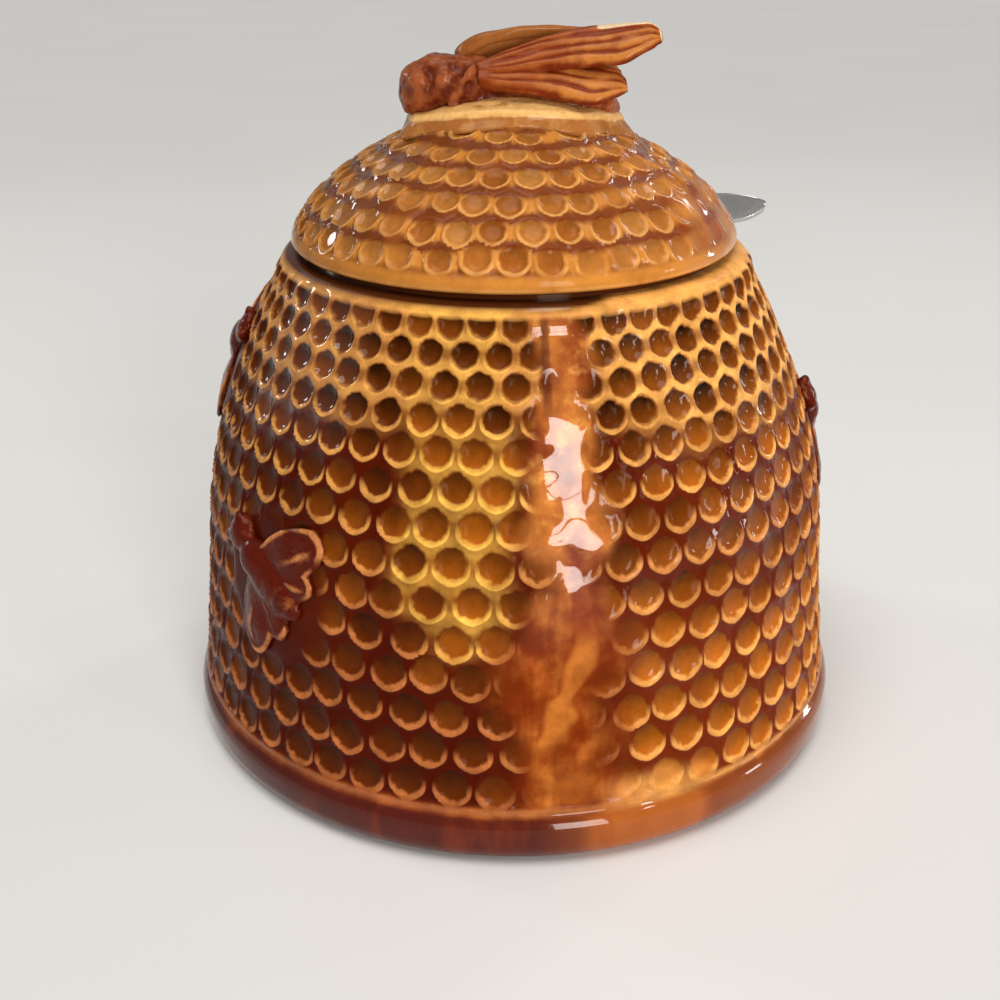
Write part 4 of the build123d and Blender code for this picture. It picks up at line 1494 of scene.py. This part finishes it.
def handle_sections(spoon):
    """Cuts across the handle from its tip to the bowl: frame, half width, thickness and part of the plate."""
    thickness = spoon.thickness
    half, neck = spoon.end_width / 2, (spoon.end_width + spoon.neck_width) / 4
    reach = spoon.end_length / 2
    sections = []
    for part in np.linspace(0.0, 1.0, 14):
        x = spoon.end_length * (1 - part**2)
        wide = half - spoon.end_taper * min(x / reach, 1) ** 2
        wide *= np.sqrt(min((spoon.end_length - x) / reach, 1))
        place = Matrix.Translation((x, 0, thickness / 2))
        sections.append((place, max(wide, 0.25 * MM), thickness, 1.0))
    for part in np.linspace(0, 1, 7)[1:]:
        wide = half + (neck - half) * ease(0, 1, part)
        place = Matrix.Translation((-spoon.inside * part, 0, thickness / 2))
        sections.append((place, wide, thickness, 1 - part))
    centre = Matrix.Translation((-spoon.inside, 0, thickness / 2 - spoon.bend_radius))
    outward = Matrix.Translation((0, 0, spoon.bend_radius))
    for part in np.linspace(0, 1, 13)[1:]:
        turn = Matrix.Rotation(-spoon.bend_angle * part, 4, "Y")
        sections.append((centre @ turn @ outward, neck, thickness, 0.0))
    start = sections[-1][0]
    stem = stem_and_bowl(spoon) - spoon.bowl_length + spoon.bowl_overlap
    for part in np.linspace(0, 1, 12)[1:]:
        wide = neck + (spoon.neck_width / 2 - neck) * ease(0, 0.6, part)
        thick = thickness + (spoon.neck_thickness - thickness) * part
        sections.append((start @ Matrix.Translation((-stem * part, 0, 0)), wide, thick, 0.0))
    return sections, start


def squared(value, power):
    """A sine or cosine pushed away from 0, which squares off the circle it draws."""
    return np.copysign(abs(value) ** power, value)


def handle_points(sections, around):
    """Points round each section of the handle, and how much each is on the plate's border."""
    points, border = [], []
    for place, wide, thick, plate in sections:
        for step in range(around):
            turn = 2 * pi * step / around
            flat, lift = squared(cos(turn), 0.35), squared(sin(turn), 0.6)
            groove = 0.22 * MM * plate * span(abs(flat), 0.62, 0.72, 0.82, 0.92)
            z = thick / 2 * lift - (groove if lift > 0.5 else 0)
            points.append(place @ Vector((0, wide * flat, z)))
            border.append(plate * ease(0.6, 0.9, abs(flat)))
    return points, border


def bowl_points(spoon, place, rows, around):
    """Rings of points down the outside of the bowl and up its inside."""
    outer = Vector((spoon.bowl_length / 2, spoon.bowl_width / 2, spoon.bowl_depth))
    inner = Vector(size - spoon.bowl_wall for size in outer)
    points = []
    for sizes, order in ((outer, range(rows)), (inner, range(rows)[::-1])):
        for row in order:
            tilt = pi / 2 * row / (rows - 1)
            out = max(sin(tilt), 0.004)
            for step in range(around):
                turn = 2 * pi * step / around
                point = (out * cos(turn) * sizes[0], out * sin(turn) * sizes[1], -cos(tilt) * sizes[2])
                points.append(place @ Vector(point))
    return points


def make_spoon(spoon, tints):
    """The spoon: a tube for its handle, and a bowl that the handle's end is sunk into."""
    around, rows, turns = 28, 16, 72
    sections, bend_end = handle_sections(spoon)
    points, border = handle_points(sections, around)
    faces = tube_faces(0, len(sections), around, flip=True)
    faces += tube_faces(len(points), 2 * rows, turns, flip=True)
    bowl_place = bend_end @ Matrix.Translation((spoon.bowl_length / 2 - stem_and_bowl(spoon), 0, 0))
    points += bowl_points(spoon, bowl_place, rows, turns)
    border += [0] * (len(points) - len(border))
    frame_place = spoon_frame(spoon)
    points = [frame_place @ point for point in points]
    piece = new_piece("spoon_polished", points, faces, "spoon", "spoon_steel", "spoon")
    mesh = piece.data
    mesh.set_sharp_from_angle(angle=radians(50))
    store(mesh, border=border)
    mesh.materials.append(spoon_steel(tints))


def spoon_steel(tints):
    """Polished steel with fine rubbing marks and a duller border."""
    recipe = Recipe("spoon_steel")
    rub = recipe.cloud(1.0, 4.0, recipe.stretched(900, 200, 900))
    smear = recipe.cloud(6 * MM, 3.0)
    base = recipe.dim(tints.steel, 0.85 + rub * 0.2)
    recipe.bump(rub, 0.05 * MM, 0.3)
    rough = 0.14 + rub * 0.08 + smear * 0.1 + recipe.stored("border") * 0.08
    return recipe.set(base_color=base, metallic=1.0, roughness=rough)


class HONEYPOT_OT_spoon(bpy.types.Operator):
    """Make the steel spoon that leans in the notch"""

    bl_idname = "honeypot.spoon"
    bl_label = "Spoon"

    def execute(self, context):
        make_spoon(context.scene.honey_spoon, context.scene.honey_glaze)
        return {"FINISHED"}


# ---- Stage ----
def area_lamp(name, place, width, height, power, tint=(1, 1, 1)):
    """A window pane that faces the middle of the pot."""
    lamp = bpy.data.lights.new(name, "AREA")
    lamp.shape = "RECTANGLE"
    lamp.size = width
    lamp.size_y = height
    lamp.spread = radians(70)  # keeps the light on the pot and off the floor by the lamp
    lamp.energy = power
    lamp.color = tint
    lit = link(name, lamp)
    lit.location = place
    lit.rotation_euler = (Vector(POT_MIDDLE) - Vector(place)).to_track_quat("-Z", "Y").to_euler()


def ceiling_lamp(name, direction, strength, spread):
    """Even light from above over the whole floor, from a wide soft disc."""
    lamp = bpy.data.lights.new(name, "SUN")
    lamp.energy = strength
    lamp.angle = spread
    lit = link(name, lamp)
    lit.rotation_euler = Vector(direction).to_track_quat("Z", "Y").to_euler()


def make_camera():
    """A camera in front of the pot that looks down on it a little."""
    camera = bpy.data.cameras.new("camera")
    camera.sensor_width = 36
    camera.lens = 48.25
    camera.clip_start = 0.01
    pitch, yaw, roll = radians(24.65), radians(-0.64), radians(-0.31)
    ahead = Vector((sin(yaw) * cos(pitch), cos(yaw) * cos(pitch), -sin(pitch)))
    level = Vector((cos(yaw), -sin(yaw), 0))
    up = level.cross(ahead)
    right = cos(roll) * level + sin(roll) * up
    upright = right.cross(ahead)
    view = Matrix((right, upright, -ahead)).transposed().to_4x4()
    view.translation = (0, -0.2354, 0.1455)
    seen = link("camera", camera)
    seen.matrix_world = view
    bpy.context.scene.camera = seen


def make_floor():
    """A pale plane under everything, to stage the pot on."""
    mesh = bpy.data.meshes.new("floor")
    reach = 3.0
    corners = [(-reach, -reach, 0), (reach, -reach, 0), (reach, reach, 0), (-reach, reach, 0)]
    mesh.from_pydata(corners, [], [(0, 1, 2, 3)])
    link("floor", mesh)
    recipe = Recipe("floor")
    grain = recipe.cloud(0.12, 2.0)
    base = recipe.blend(grain, colour(226, 223, 218), colour(232, 230, 226))
    mesh.materials.append(recipe.set(base_color=base, roughness=0.9, specular_ior_level=0.1))


def make_world(scene):
    """Grey surroundings, brighter to the camera and in reflections than as a light on the pot."""
    world = bpy.data.worlds.new("studio")
    scene.world = world
    world.use_nodes = True
    nodes, links = world.node_tree.nodes, world.node_tree.links
    backdrop = nodes["Background"]
    backdrop.inputs["Color"].default_value = (0.8, 0.8, 0.8, 1)
    rays = nodes.new("ShaderNodeLightPath")
    seen = rays.outputs["Is Camera Ray"]
    for ray in ("Is Glossy Ray", "Is Transmission Ray"):
        either = nodes.new("ShaderNodeMath")
        either.operation = "MAXIMUM"
        links.new(seen, either.inputs[0])
        links.new(rays.outputs[ray], either.inputs[1])
        seen = either.outputs[0]
    strength = nodes.new("ShaderNodeMapRange")
    strength.inputs["To Min"].default_value = 0.18
    strength.inputs["To Max"].default_value = 0.45
    links.new(seen, strength.inputs["Value"])
    links.new(strength.outputs[0], backdrop.inputs["Strength"])


def make_stage():
    """The surroundings, the lamps, the floor and the camera."""
    scene = bpy.context.scene
    scene.view_settings.view_transform = "Standard"
    make_world(scene)
    for pane, height in (("low", 0.1), ("middle", 0.29), ("high", 0.48)):
        area_lamp(f"window_{pane}", (0.36, -0.96, height), 0.3, 0.17, 0.36, (1, 0.985, 0.96))
    for name, lamp in SIDE_LAMPS.items():
        area_lamp(f"window_{name}", *lamp)
    ceiling_lamp("ceiling", (-0.1, -0.2, 1.1), 1.9, radians(44))
    make_floor()
    make_camera()


class HONEYPOT_OT_stage(bpy.types.Operator):
    """Set up the floor, the lamps and the camera"""

    bl_idname = "honeypot.stage"
    bl_label = "Stage"

    def execute(self, context):
        make_stage()
        return {"FINISHED"}


OPERATORS = (
    HONEYPOT_OT_pot,
    HONEYPOT_OT_relief_bees,
    HONEYPOT_OT_lid,
    HONEYPOT_OT_lid_bee,
    HONEYPOT_OT_spoon,
    HONEYPOT_OT_stage,
)


class HONEYPOT_PT_panel(bpy.types.Panel):
    """Lists what the add-on can make"""

    bl_idname = "HONEYPOT_PT_panel"
    bl_label = "Honey pot"
    bl_space_type = "VIEW_3D"
    bl_region_type = "UI"
    bl_category = "Honey pot"

    def draw(self, context):
        for operator in OPERATORS:
            self.layout.operator(operator.bl_idname)


GROUPS = {
    "honey_pot": PotSizes,
    "honey_lid": LidSizes,
    "honey_bee": BeeSizes,
    "honey_spoon": SpoonSizes,
    "honey_glaze": GlazeColours,
}


def register():
    for cls in (*GROUPS.values(), *OPERATORS, HONEYPOT_PT_panel):
        bpy.utils.register_class(cls)
    for name, group in GROUPS.items():
        setattr(bpy.types.Scene, name, bpy.props.PointerProperty(type=group))


def unregister():
    for name in GROUPS:
        delattr(bpy.types.Scene, name)
    for cls in reversed((*GROUPS.values(), *OPERATORS, HONEYPOT_PT_panel)):
        bpy.utils.unregister_class(cls)


def main():
    register()
    for operator in OPERATORS:
        getattr(bpy.ops.honeypot, operator.bl_idname.split(".")[1])()


if __name__ == "__main__":
    main()
